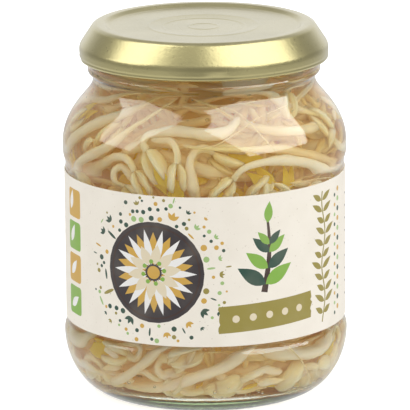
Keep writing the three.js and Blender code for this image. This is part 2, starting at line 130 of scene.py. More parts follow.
class Shader:
    """A material or world under construction."""

    def __init__(self, name: str, world: bool = False) -> None:
        """Starts a material, or a world, with nothing in it but its output.

        Args:
            name: its name.
            world: whether it is a world.
        """
        self.material = (bpy.data.worlds if world else bpy.data.materials).new(name)
        self.material.use_nodes = True
        self.tree = self.material.node_tree
        self.tree.nodes.clear()
        self.output = self.node(f"ShaderNodeOutput{'World' if world else 'Material'}")

    def node(self, kind: str, settings: Settings = None, sockets: Sockets = None) -> bpy.types.Node:
        """Adds a node.

        Args:
            kind: the node's type.
            settings: its own properties, which are set first.
            sockets: the value, Term, socket or node for each input, by name or number.

        Returns:
            The node.
        """
        made = self.tree.nodes.new(kind)
        for name, value in (settings or {}).items():
            setattr(made, name, value)
        for name, value in (sockets or {}).items():
            self._feed(made.inputs[name], value)
        return made

    def _feed(self, target: bpy.types.NodeSocket, value: object) -> None:
        """Links or sets one input.

        Args:
            target: the input.
            value: a number or colour, or a Term, socket or node.
        """
        if isinstance(value, Term):
            value = value.socket
        if isinstance(value, bpy.types.Node):
            value = value.outputs[0]
        if isinstance(value, bpy.types.NodeSocket):
            self.tree.links.new(value, target)
        elif isinstance(value, tuple) and target.type == "RGBA":
            target.default_value = (*value[:3], 1.0)
        else:
            target.default_value = value

    def term(
        self, kind: str, settings: Settings = None, sockets: Sockets = None, output: str | int = 0
    ) -> Term:
        """Adds a node and gives one of its outputs as a Term."""
        return Term(self, self.node(kind, settings, sockets).outputs[output])

    def place(self) -> bpy.types.NodeSocket:
        """The place on the piece in its own frame, in metres."""
        return self.node("ShaderNodeTexCoord").outputs["Object"]

    def attribute(self, name: str) -> Term:
        """A number stored on the mesh."""
        return self.term("ShaderNodeAttribute", {"attribute_name": name}, None, "Fac")

    def vector(self, operation: str, first: object, second: object) -> bpy.types.Node:
        """Adds a Vector Math node on two values."""
        return self.node("ShaderNodeVectorMath", {"operation": operation}, {0: first, 1: second})

    def noise(self, size: float, detail: float) -> Term:
        """Cloudy noise.

        Args:
            size: width of its patches, in millimetres.
            detail: how many finer layers it has.

        Returns:
            The noise, about 0.5.
        """
        scaled = self.vector("DIVIDE", self.place(), (size * MM,) * 3)
        sockets = {"Vector": scaled, "Scale": 1.0, "Detail": detail}
        return self.term("ShaderNodeTexNoise", None, sockets)

    def mix(self, factor: "Term | float", first: object, second: object) -> bpy.types.NodeSocket:
        """Blends two colours.

        Args:
            factor: 0 for the first, 1 for the second.
            first: a colour or a link.
            second: a colour or a link.

        Returns:
            The blend.
        """
        made = self.node("ShaderNodeMix", {"data_type": "RGBA"})
        colours = [s for s in made.inputs if s.type == "RGBA"]
        self._feed(made.inputs[0], factor)
        self._feed(colours[0], first)
        self._feed(colours[1], second)
        return next(s for s in made.outputs if s.type == "RGBA")

    def bump(self, height: Term, depth: float) -> bpy.types.Node:
        """Raises the surface by a height times a depth in millimetres.

        Args:
            height: the height.
            depth: how far 1 stands out, in millimetres.

        Returns:
            The node, for a Normal input.
        """
        return self.node(
            "ShaderNodeBump", None, {"Height": height, "Distance": depth * MM, "Strength": 1.0}
        )

    def principled(self, **sockets: object) -> bpy.types.Node:
        """The main shader, its inputs named with _ for each space."""
        named = {name.replace("_", " "): value for name, value in sockets.items()}
        return self.node("ShaderNodeBsdfPrincipled", None, named)

    def finish(self, surface: bpy.types.Node, volume: bpy.types.Node | None = None) -> bpy.types.Material:
        """Connects the output and gives the material.

        Args:
            surface: the last node of the surface.
            volume: the node of the inside.

        Returns:
            The material or world.
        """
        self._feed(self.output.inputs["Surface"], surface)
        if volume:
            self._feed(self.output.inputs["Volume"], volume)
        return self.material


def see_through(shader: Shader, lit: bpy.types.Node, tint: Colour) -> bpy.types.Node:
    """Lets lamps shine straight through a clear surface.

    Args:
        shader: the shader of the surface.
        lit: what every other ray meets.
        tint: the colour that the light keeps.

    Returns:
        The blend of the two.
    """
    path = shader.node("ShaderNodeLightPath")
    clear = shader.node("ShaderNodeBsdfTransparent", None, {"Color": tint})
    return shader.node(
        "ShaderNodeMixShader", None, {0: path.outputs["Is Shadow Ray"], 1: lit, 2: clear}
    )


# ---- finishes
@dataclass(frozen=True)
class Clear:
    """Something clear that bends light, and is tinted where it is thick."""

    name: str
    ior: float
    shadow: Colour
    absorbed: Colour | None = None
    density: float = 0.0
    mirrored: Colour = (0.2, 0.2, 0.2)
    coat: float = 0.0
    wave: float = 0.0
    wave_sizes: Pair = (9.0, 0.9)
    fine_share: float = 0.34

    def material(self) -> bpy.types.Material:
        """Makes the material.

        Returns:
            The material.
        """
        shader = Shader(self.name)
        surface = {"Coat_Weight": self.coat, "Coat_Roughness": 0.0} if self.coat else {}
        if self.wave:
            broad, fine = (shader.noise(size, 1.0) for size in self.wave_sizes)
            surface["Normal"] = shader.bump(broad + self.fine_share * fine, self.wave)
        clear = shader.principled(
            Base_Color=WHITE,
            Roughness=0.0,
            IOR=self.ior,
            Transmission_Weight=1.0,
            Specular_Tint=self.mirrored,
            **surface,
        )
        absorb = None
        if self.absorbed:
            sockets = {"Color": self.absorbed, "Density": self.density}
            absorb = shader.node("ShaderNodeVolumeAbsorption", None, sockets)
        return shader.finish(see_through(shader, clear, self.shadow), absorb)


# Flint glass, with the faint green of its thick places and a slightly uneven surface.
GLASS = Clear("clear_glass", 1.5, (0.99, 0.995, 0.99), (0.81, 0.92, 0.72), 46.0, coat=0.5, wave=0.05)
# The liquid: thin and faintly amber.
BRINE = Clear("brine", 1.34, (0.58, 0.56, 0.50), (0.89, 0.735, 0.21), 75.0)
# Air inside the liquid, which bends light the other way.
AIR = Clear("air_bubble", 0.746, (0.97, 0.97, 0.97), mirrored=WHITE)


@dataclass(frozen=True)
class GoldLacquer:
    """Pale gold lacquer on tinplate, with a fine orange peel, and a painted deeper gold on the chamfer and
    skirt of the lid, where they mirror the dim room.
    """

    colour: Colour = (0.54, 0.485, 0.26)
    shade: Colour = (0.47, 0.42, 0.21)
    # Painted shade and reflection: the deeper gold of the chamfer and skirt, which mirror the dim room.
    drawn: Colour = (0.56, 0.5, 0.235)
    painted_side_heights: Pair = (103.5, 103.0)
    painted_side_radii: Pair = (29.9, 31.0)
    peel: float = 0.75
    peel_depth: float = 0.038
    cloud: float = 14.0
    roughness: float = 0.3
    coat: float = 0.75
    coat_roughness: float = 0.22

    def material(self) -> bpy.types.Material:
        """Makes the material.

        Returns:
            The material.
        """
        shader = Shader("gold_lacquer")
        peel = shader.noise(self.peel, 2.0)
        cloud = shader.noise(self.cloud, 3.0)
        height = shader.term("ShaderNodeSeparateXYZ", None, {0: shader.place()}, "Z")
        flat = shader.vector("MULTIPLY", shader.place(), (1.0, 1.0, 0.0))
        reach = shader.term("ShaderNodeVectorMath", {"operation": "LENGTH"}, {0: flat}, "Value")
        # The painted deeper gold covers the lid below the crest and outside the crest ring, that is its
        # chamfer and skirt.
        side = height.stepped(*(z * MM for z in self.painted_side_heights))
        side = side * reach.stepped(*(r * MM for r in self.painted_side_radii))
        panel = shader.mix(cloud.stepped(0.35, 0.7), self.colour, self.shade)
        surface = shader.principled(
            Base_Color=shader.mix(side, panel, self.drawn),
            Metallic=1.0,
            Roughness=self.roughness + 0.12 * (peel - 0.5),
            Coat_Weight=self.coat,
            Coat_Roughness=self.coat_roughness,
            Normal=shader.bump(peel, self.peel_depth),
        )
        return shader.finish(surface)


@dataclass(frozen=True)
class SealingCompound:
    """The soft pale ring inside the lid."""

    colour: Colour = (0.80, 0.78, 0.70)
    shade: float = 0.86
    grain: float = 0.7
    grain_depth: float = 0.03
    roughness: float = 0.62

    def material(self) -> bpy.types.Material:
        """Makes the material.

        Returns:
            The material.
        """
        shader = Shader("sealing_compound")
        grain = shader.noise(self.grain, 3.0)
        surface = shader.principled(
            Base_Color=shader.mix(grain, self.colour, tuple(self.shade * c for c in self.colour)),
            Roughness=self.roughness,
            Normal=shader.bump(grain, self.grain_depth),
        )
        return shader.finish(surface)


class Ink(Enum):
    """The colours printed on the label."""

    PAPER = (0.93, 0.87, 0.76)
    WHITE = (0.90, 0.89, 0.86)
    OLIVE = (0.33, 0.27, 0.05)
    BROWN = (0.055, 0.028, 0.022)
    DARK = (0.045, 0.035, 0.038)
    DEEP_GREEN = (0.020, 0.075, 0.050)
    LEAF_GREEN = (0.235, 0.46, 0.060)
    PALE_GREEN = (0.36, 0.55, 0.20)
    OCHRE = (0.66, 0.39, 0.06)
    CREAM = (0.80, 0.70, 0.50)
    GREY = (0.16, 0.145, 0.13)


@dataclass(frozen=True)
class PrintedPaper:
    """Label paper with a faint speckle, under a thin varnish."""

    speck: Colour = (0.42, 0.33, 0.22)
    speck_size: float = 0.55
    stain: Colour = (0.60, 0.52, 0.38)
    stain_size: float = 7.0
    fibre: float = 0.30
    tooth: float = 0.012
    roughness: float = 0.46
    varnish: float = 0.12
    varnish_roughness: float = 0.3

    def material(self) -> bpy.types.Material:
        """Makes the material, which takes its inks from the mesh.

        Returns:
            The material.
        """
        shader = Shader("printed_paper")
        ink = shader.node("ShaderNodeAttribute", {"attribute_name": "ink"}).outputs["Color"]
        plain = shader.attribute("plain")
        specks = shader.noise(self.speck_size, 1.0).stepped(0.735, 0.775) * plain * 0.55
        cloud = shader.noise(self.stain_size, 3.0)
        fibre = shader.noise(self.fibre, 2.0)
        toned = shader.mix(cloud.stepped(0.3, 0.75) * 0.10, ink, self.stain)
        surface = shader.principled(
            Base_Color=shader.mix(specks, toned, self.speck),
            Roughness=self.roughness + 0.16 * (fibre - 0.5),
            Coat_Weight=self.varnish,
            Coat_Roughness=self.varnish_roughness,
            Normal=shader.bump(fibre, self.tooth),
        )
        return shader.finish(surface)


@dataclass(frozen=True)
class SproutFlesh:
    """The wet, milky flesh of stems, beans, leaves and roots, painted darker amber deeper in the jar for the
    liquid and shade in front, with a faint painted glow.
    """

    stem: Colour = (0.9, 0.735, 0.585)
    pale: Colour = (0.93, 0.805, 0.7)
    bean: Colour = (0.89, 0.75, 0.47)
    leaf: Colour = (0.84, 0.56, 0.03)
    root: Colour = (0.84, 0.66, 0.38)
    # Painted shade: the darker amber given to sprouts that lie deep under the glass, for the liquid and shade
    # in front of them.
    deep: Colour = (0.74, 0.49, 0.185)
    # Painted light: the flesh glows faintly amber, as if lit by light scattered between the sprouts.
    glow: Colour = (0.85, 0.58, 0.24)
    painted_glow_strength: float = 0.085
    scatter: Colour = (3.6, 3.0, 2.2)
    scatter_weight: float = 0.9
    roughness: float = 0.38
    gloss: float = 0.18
    mottle: float = 2.6
    streak: float = 0.8
    ridges: float = 60.0
    relief: float = 0.05

    def material(self) -> bpy.types.Material:
        """Makes the material, which takes the kind of flesh from the mesh.

        Returns:
            The material.
        """
        shader = Shader("sprout_flesh")
        tone = shader.attribute("tone")
        mottle = shader.noise(self.mottle, 3.0)
        streak = shader.noise(self.streak, 2.0)
        stem = shader.mix((tone * 0.75 + mottle * 0.5 - 0.1).stepped(0.1, 1.0), self.stem, self.pale)
        rooted = shader.mix(shader.attribute("root"), stem, self.root)
        ridge = (shader.attribute("around") * self.ridges + mottle * 5.0).waved()
        beaded = shader.attribute("bean") * ridge
        bean = shader.mix(mottle * 0.4 + beaded * 0.25, self.bean, self.pale)
        headed = shader.mix(shader.attribute("bean"), rooted, bean)
        leafy = shader.mix(shader.attribute("leaf"), headed, self.leaf)
        # Painted shade: the deeper a sprout lies, the more it takes of the dark amber colour, and leaves take
        # less.
        shaded = shader.attribute("deep") * (1.0 - 0.6 * shader.attribute("leaf"))
        colour = shader.mix(shaded, leafy, self.deep)
        surface = shader.principled(
            Base_Color=colour,
            Roughness=self.roughness + 0.2 * (mottle - 0.5),
            Specular_IOR_Level=self.gloss,
            Subsurface_Weight=self.scatter_weight,
            Subsurface_Radius=tuple(reach * MM for reach in self.scatter),
            Subsurface_Scale=1.0,
            # Painted light: a faint amber glow that lightens the gaps between sprouts.
            Emission_Color=self.glow,
            Emission_Strength=self.painted_glow_strength,
            Normal=shader.bump(streak + beaded * 1.2, self.relief),
        )
        return shader.finish(surface)


@dataclass(frozen=True)
class StudioFloor:
    """The plain pale floor, which shows only what shades it."""

    colour: Colour = (0.9, 0.9, 0.9)
    white: float = 0.62
    radius: float = 6.0
    sides: int = 64

    def material(self) -> bpy.types.Material:
        """Makes the material.

        Returns:
            The material.
        """
        shader = Shader("studio_floor")
        surface = shader.principled(
            Base_Color=self.colour,
            Roughness=0.9,
            Specular_IOR_Level=0.0,
            Emission_Color=WHITE,
            Emission_Strength=self.white,
        )
        return shader.finish(surface)

    def build(self) -> None:
        """Lays the floor, which shows itself to the camera alone."""
        points = around(full_turn(self.sides), self.radius / MM, 0.0)
        floor = make_mesh("studio_floor", points, [range(self.sides)])
        floor.data.materials.append(self.material())
        floor.visible_diffuse = floor.visible_glossy = floor.visible_transmission = False
        floor.visible_shadow = False


# ---- profiles and meshes
class Profile:
    """An outline of radius and height, drawn point by point, that turns round the axis."""

    CORNER_STEPS = 4

    def __init__(self, steps: int) -> None:
        """Starts an outline with that many points along each curve."""
        self.steps = steps
        self.points: Shape = []

    def to(self, *points: Pair) -> "Profile":
        """Goes straight through points."""
        self.points.extend(points)
        return self

    def bow(self, *controls: Pair) -> "Profile":
        """Goes along a curve.

        Args:
            controls: what it leans to on its way, and then its end.

        Returns:
            The outline.
        """
        ends = [self.points[-1], *controls]
        n = len(controls)
        for i in range(1, self.steps + 1):
            t = i / self.steps
            shares = [math.comb(n, j) * (1 - t) ** (n - j) * t**j for j in range(n + 1)]
            self.points.append(tuple(sum(w * end[a] for w, end in zip(shares, ends)) for a in (0, 1)))
        return self

    def rounded(self, radius: float) -> Shape:
        """The outline with its corners eased.

        Args:
            radius: how far from a corner its easing may start.

        Returns:
            The points.
        """
        eased = [self.points[0]]
        for before, corner, after in zip(self.points, self.points[1:], self.points[2:]):
            ends = []
            for other in (before, after):
                length = math.dist(corner, other)
                share = min(radius / length, 0.5) if length else 0.0
                ends.append(tuple(c + (o - c) * share for c, o in zip(corner, other)))
            for i in range(self.CORNER_STEPS + 1):
                t = i / self.CORNER_STEPS
                eased.append(
                    tuple(
                        (1 - t) ** 2 * a + 2 * (1 - t) * t * c + t * t * b
                        for a, c, b in zip(ends[0], corner, ends[1])
                    )
                )
        return eased + [self.points[-1]]


def full_turn(count: int) -> np.ndarray:
    """Angles evenly round a circle, in radians."""
    return np.arange(count) * 2 * math.pi / count


def around(angles: Numbers, reach: Numbers, heights: Numbers) -> np.ndarray:
    """Points at angles from the front.

    Args:
        angles: the angles, in radians.
        reach: how far each point is from the axis.
        heights: how high each point is.

    Returns:
        The points, three numbers each.
    """
    return np.stack(np.broadcast_arrays(reach * np.sin(angles), -reach * np.cos(angles), heights), -1)


def make_mesh(name: str, points: np.ndarray, faces: Iterable[Sequence[int]]) -> bpy.types.Object:
    """Makes a smooth-shaded mesh object.

    Args:
        name: its name.
        points: its points, in millimetres.
        faces: the point numbers of each face.

    Returns:
        The object, in the scene.
    """
    mesh = bpy.data.meshes.new(name)
    mesh.from_pydata((np.asarray(points) * MM).tolist(), [], list(faces))
    mesh.validate()
    mesh.shade_smooth()
    made = bpy.data.objects.new(name, mesh)
    bpy.context.scene.collection.objects.link(made)
    return made


def turned(
    name: str,
    outline: Sequence[Pair],
    segments: int,
    shape: Callable[[np.ndarray, float, float], np.ndarray] | None = None,
) -> bpy.types.Object:
    """Turns an outline round the axis into a closed mesh.

    Args:
        name: the object's name.
        outline: radius and height of each point, from one end on the axis to the other.
        segments: faces round the axis.
        shape: gives the radius at each angle from the front, for a piece that isn't round.

    Returns:
        The object.
    """
    angles = full_turn(segments)
    points: list[np.ndarray] = []
    rings: list[list[int]] = []
    for r, z in outline:
        first = len(points)
        if r < 1e-6:
            points.append(np.array([0.0, 0.0, z]))
            rings.append([first] * segments)
            continue
        reach = shape(angles, r, z) if shape else np.full(segments, r)
        points.extend(around(angles, reach, z))
        rings.append(list(range(first, first + segments)))
    closed = outline[0][0] > 1e-6
    faces = []
    for low, high in zip(rings, rings[1:] + ([rings[0]] if closed else [])):
        for j in range(segments):
            k = (j + 1) % segments
            corners = [low[j], low[k], high[k], high[j]]
            face = list(dict.fromkeys(corners))
            if len(face) > 2:
                faces.append(face)
    return make_mesh(name, np.array(points), faces)


def finish_piece(
    piece: bpy.types.Object, body: str, slot: str, material: bpy.types.Material, *nodes: str
) -> bpy.types.Object:
    """Gives a piece its material and its place in the frame.

    Args:
        piece: the object.
        body: the body that it moves with.
        slot: the record's material slot, which is not used.
        material: its finish.
        nodes: the frame's nodes that it stands for.

    Returns:
        The piece.
    """
    piece.data.materials.clear()
    piece.data.materials.append(material)
    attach(piece, body)
    if nodes:
        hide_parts(*nodes)
    log.info("%s: %d faces on %s", piece.name, len(piece.data.polygons), body)
    return piece


# ---- glass jar and brine
@dataclass(frozen=True)
class Thread:
    """Four short ramps on the finish, which climb anticlockwise."""

    starts: int = 4
    reach: float = 1.5
    low: float = 96.4
    rise: float = 1.7
    thick: float = 1.1
    sweep: float = 60.0
    first: float = -6.0
    taper: float = 7.0
    crown: float = 0.6

    def swell(self, angles: np.ndarray, z: float) -> np.ndarray:
        """How far the ramps stand out at each angle, at one height.

        Args:
            angles: angles from the front, in radians.
            z: the height.

        Returns:
            How far at each angle.
        """
        pitch = 360.0 / self.starts
        along = (np.degrees(angles) - self.first) % pitch
        middle = self.low + self.rise * along / self.sweep
        ends = np.clip(np.minimum(along, self.sweep - along) / self.taper, 0.0, 1.0)
        return self.reach * np.exp(-(((z - middle) / (self.crown * self.thick)) ** 4)) * ends


@dataclass
class GlassJar:
    """The jar, from its standing ring to its rim."""

    base_ring: Pair = (26.2, 28.2)
    punt: float = 2.1
    body: float = 39.7
    heel_top: float = 16.8
    panel: float = 38.9
    panel_heights: Pair = (20.6, 64.6)
    shoulder: float = 70.5
    slope: Pair = (35.0, 81.9)
    neck: float = 30.95
    neck_height: float = 88.4
    bead: float = 32.3
    finish: float = 31.4
    finish_heights: Pair = (93.9, 101.3)
    rim: float = 102.2
    bore: float = 28.5
    wall: float = 2.15
    floor: float = 5.0
    segments: int = 192
    curve_steps: int = 14
    thread: Thread = field(default_factory=Thread)

    def outside(self, steps: int) -> Profile:
        """The outside, from the middle of the underside to the top of the rim.

        Args:
            steps: points along each curve.

        Returns:
            The outline.
        """
        inner, outer = self.base_ring
        low, high = self.panel_heights
        upper = self.body - 0.15
        path = Profile(steps).to((0, self.punt)).bow((inner * 0.7, self.punt), (inner - 0.6, 0.25))
        path.bow((inner, 0), (inner + 0.7, 0)).to((outer - 0.3, 0))
        path.bow((34.2, 0), (self.body, 8.5), (self.body, self.heel_top))
        path.bow((self.body, low - 1.6), (self.panel, low - 1.6), (self.panel, low))
        path.to((self.panel, high))
        path.bow((self.panel, high + 1.7), (upper, high + 1.7), (upper, self.shoulder - 2.0))
        path.to((upper, self.shoulder)).bow((upper, 75.2), (37.3, 79.1), self.slope)
        path.bow((32.6, 84.85), (self.neck, 86.2), (self.neck, self.neck_height))
        path.bow((self.neck, 89.9), (self.bead - 0.25, 89.9), (self.bead, 90.7)).to((self.bead, 91.5))
        path.bow((self.bead - 0.3, 91.85), (self.bead, 92.2)).to((self.bead, 93.2))
        path.bow((self.bead, self.finish_heights[0]), (self.finish, self.finish_heights[0]))
        path.to(*((self.finish, z) for z in np.linspace(*self.finish_heights, 24)[1:]))
        path.bow((self.finish, self.rim), (self.finish - 0.9, self.rim))
        return path.to((self.bore + 0.8, self.rim)).bow((self.bore, self.rim), (self.bore, self.rim - 0.8))

    def inside(self, steps: int) -> Profile:
        """The inside, from the middle of the floor to the rim.

        Args:
            steps: points along each curve.

        Returns:
            The outline.
        """
        bulge = self.panel - self.wall
        path = Profile(steps).to((0, self.floor + 0.8)).bow((18, self.floor + 0.8), (27, self.floor))
        path.bow((33, self.floor - 0.5), (bulge, 8.2), (bulge, 16)).to((bulge, self.shoulder - 2))
        middle = (self.slope[0] - 1.9, self.slope[1] - 1.5)
        path.bow((bulge, 74.2), (35.1, 77.8), middle)
        path.bow((30.9, 83.1), (self.bore, 84.9), (self.bore, self.neck_height))
        return path.to((self.bore, self.rim - 0.8))

    def _shape(self, angles: np.ndarray, r: float, z: float) -> np.ndarray:
        """The radius round the jar, with the thread on the finish."""
        on_finish = abs(r - self.finish) < 0.01 and z > self.finish_heights[0]
        return r + self.thread.swell(angles, z) if on_finish else np.full(len(angles), r)

    def build(self, glass: Clear) -> None:
        """Makes the jar.

        Args:
            glass: its finish.
        """
        inner = self.inside(self.curve_steps).points
        outline = self.outside(self.curve_steps).points + inner[::-1][1:]
        jar = turned("jar_glass", outline, self.segments, self._shape)
        finish_piece(jar, JAR_BODY, "glass", glass.material(), "glass_jar")


@dataclass
class BrineFill:
    """The liquid, which wets the glass all the way up to its level."""

    jar: GlassJar
    level: float = 95.3
    creep: float = 0.7
    overlap: float = 0.06

    def build(self, brine: Clear) -> None:
        """Makes the liquid, a hair wider than the inside of the glass.

        Args:
            brine: its finish.
        """
        wall = [p for p in self.jar.inside(self.jar.curve_steps).points if p[1] < self.level]
        points = []
        for i, (r, z) in enumerate(wall):
            (r0, z0), (r1, z1) = wall[max(i - 1, 0)], wall[min(i + 1, len(wall) - 1)]
            length = math.dist((r0, z0), (r1, z1))
            out = (z1 - z0) / length, (r0 - r1) / length
            moved = r + out[0] * self.overlap if r else 0.0
            points.append((moved, z + out[1] * self.overlap))
        edge = self.jar.bore + self.overlap
        top = Profile(6).to((edge, self.level + self.creep))
        top.bow((edge - 0.3, self.level), (edge - 1.8, self.level)).to((0, self.level))
        liquid = turned("brine_fill", points + top.points, self.jar.segments)
        finish_piece(liquid, JAR_BODY, "brine", brine.material(), "brine")


# ---- lid
@dataclass
class TwistLid:
    """The tinplate lid, with its button, crest, chamfer, rolled edge and lugs."""

    radius: float = 34.6
    crest: float = 103.8
    crest_ring: Pair = (28.1, 29.9)
    panel: float = 102.9
    panel_radius: float = 26.4
    button: Pair = (10.9, 15.3)
    button_depth: float = 0.4
    ring_radius: float = 4.1
    ring_height: float = 0.16
    ring_half: float = 0.45
    chamfer: tuple[float, float, float, float] = (31.0, 103.2, 34.4, 98.0)
    curl: float = 0.65
    curl_height: float = 94.6
    curl_sweep: Pair = (14.0, -225.0)
    sheet: float = 0.4
    top_corner: float = 0.45
    under_corner: float = 0.3
    lugs: int = 4
    lug_first: float = 6.0
    lug_width: float = 12.0
    lug_tip: float = 32.1
    lug_rings: int = 13
    lug_heights: Pair = (94.35, 95.5)
    pinch: float = 0.32
    segments: int = 216

    def _outline(self) -> Shape:
        """The section of the sheet, from the middle of its underside to the middle of its top.

        Returns:
            The points.
        """
        dish = self.panel - self.button_depth
        in_r, in_z, out_r, out_z = self.chamfer
        ring, half, ridge = self.ring_radius, self.ring_half, dish + self.ring_height
        top = Profile(10).to((0, dish), (ring - half, dish), (ring, ridge), (ring + half, dish))
        inner, outer = self.button
        top.to((inner, dish), (inner + 0.5, ridge), (inner + 0.9, dish + 0.12))
        top.to((outer - 0.6, self.panel - 0.05), (outer, self.panel + 0.06), (outer + 0.6, self.panel - 0.08))
        top.to((self.panel_radius - 0.8, self.panel - 0.08), (self.panel_radius, self.panel))
        top.to((self.crest_ring[0] - 0.5, self.crest - 0.1), (self.crest_ring[0], self.crest))
        top.to((self.crest_ring[1], self.crest), (in_r, in_z), (out_r, out_z), (self.radius, out_z - 1.0))
        top.to((self.radius, self.curl_height + 0.6), (self.radius - 0.18, self.curl_height + 0.45))
        upper = top.rounded(self.top_corner)
        centre = self.radius - self.curl
        rolled = [
            (centre + self.curl * math.cos(turn), self.curl_height + self.curl * math.sin(turn))
            for turn in np.radians(np.linspace(*self.curl_sweep, 26))
        ]
        side, crest, panel = self.radius - self.sheet, self.crest - self.sheet, self.panel - self.sheet
        under = Profile(10).to((side, self.curl_height + 0.9), (side, out_z - 1.0))
        under.to((out_r - 0.36, out_z - 0.2), (in_r - 0.36, in_z - 0.24))
        under.to((self.crest_ring[1] - 0.1, crest), (self.crest_ring[0] - 0.3, crest))
        under.to((self.panel_radius + 0.3, panel), (outer + 0.1, panel))
        under.to((inner + 0.1, dish - self.sheet), (0, dish - self.sheet))
        return (upper[:-1] + rolled + under.rounded(self.under_corner))[::-1]

    def _shape(self, angles: np.ndarray, r: float, z: float) -> np.ndarray:
        """The radius round the lid, drawn in a little where each lug is bent.

        Args:
            angles: angles from the front, in radians.
            r: the radius of the section.
            z: the height.

        Returns:
            The radius at each angle.
        """
        pitch = 360.0 / self.lugs
        away = (np.degrees(angles) - self.lug_first + pitch / 2) % pitch - pitch / 2
        height = math.exp(-(((z - self.curl_height - 0.3) / 1.1) ** 2)) if r > 33 else 0.0
        return r - self.pinch * height * np.exp(-((away / (0.42 * self.lug_width)) ** 4))

    def _lug(self, middle: float) -> tuple[list[tuple[float, float, float]], list[list[int]]]:
        """The points and faces of one lug, bent in under the thread.

        Args:
            middle: the angle of its middle, in degrees.

        Returns:
            The points, and the faces as point numbers.
        """
        low, high = self.lug_heights
        root = self.radius - self.curl
        section = [(root, low), (root - 0.9, low - 0.05), (self.lug_tip, low + 0.45)]
        section += [(self.lug_tip, high - 0.1), (root - 0.9, high - 0.2), (root, high - 0.25)]
        rings = self.lug_rings
        points, faces, n = [], [], len(section)
        for i in range(rings):
            share = i / (rings - 1) * 2 - 1
            angle = math.radians(middle + share * self.lug_width / 2)
            ease = 0.9 * abs(share) ** 6
            for r, z in section:
                reach = r + ease * (root - r) / (root - self.lug_tip)
                points.append(tuple(around(angle, reach, z)))
            if i:
                a, b = (i - 1) * n, i * n
                faces += [[a + j, a + (j + 1) % n, b + (j + 1) % n, b + j] for j in range(n)]
        last = (rings - 1) * n
        return points, faces + [list(range(n))[::-1], list(range(last, last + n))]

    def build(self, lacquer: GoldLacquer, compound: SealingCompound) -> None:
        """Makes the lid and its lugs, and dresses the sealing ring.

        Args:
            lacquer: the finish of the sheet.
            compound: the finish of the ring.
        """
        shell = turned("lid_shell", self._outline(), self.segments, self._shape)
        finish_piece(shell, LID_BODY, "lid", lacquer.material(), "lid")
        points: list[tuple[float, float, float]] = []
        faces: list[list[int]] = []
        for i in range(self.lugs):
            lug_points, lug_faces = self._lug(self.lug_first + 360.0 / self.lugs * i)
            faces += [[len(points) + v for v in face] for face in lug_faces]
            points += lug_points
        lugs = make_mesh("lid_lugs", np.array(points), faces)
        finish_piece(lugs, LID_BODY, "lid", shell.data.materials[0])
        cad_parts["sealing_ring"].material_slots[0].material = compound.material()


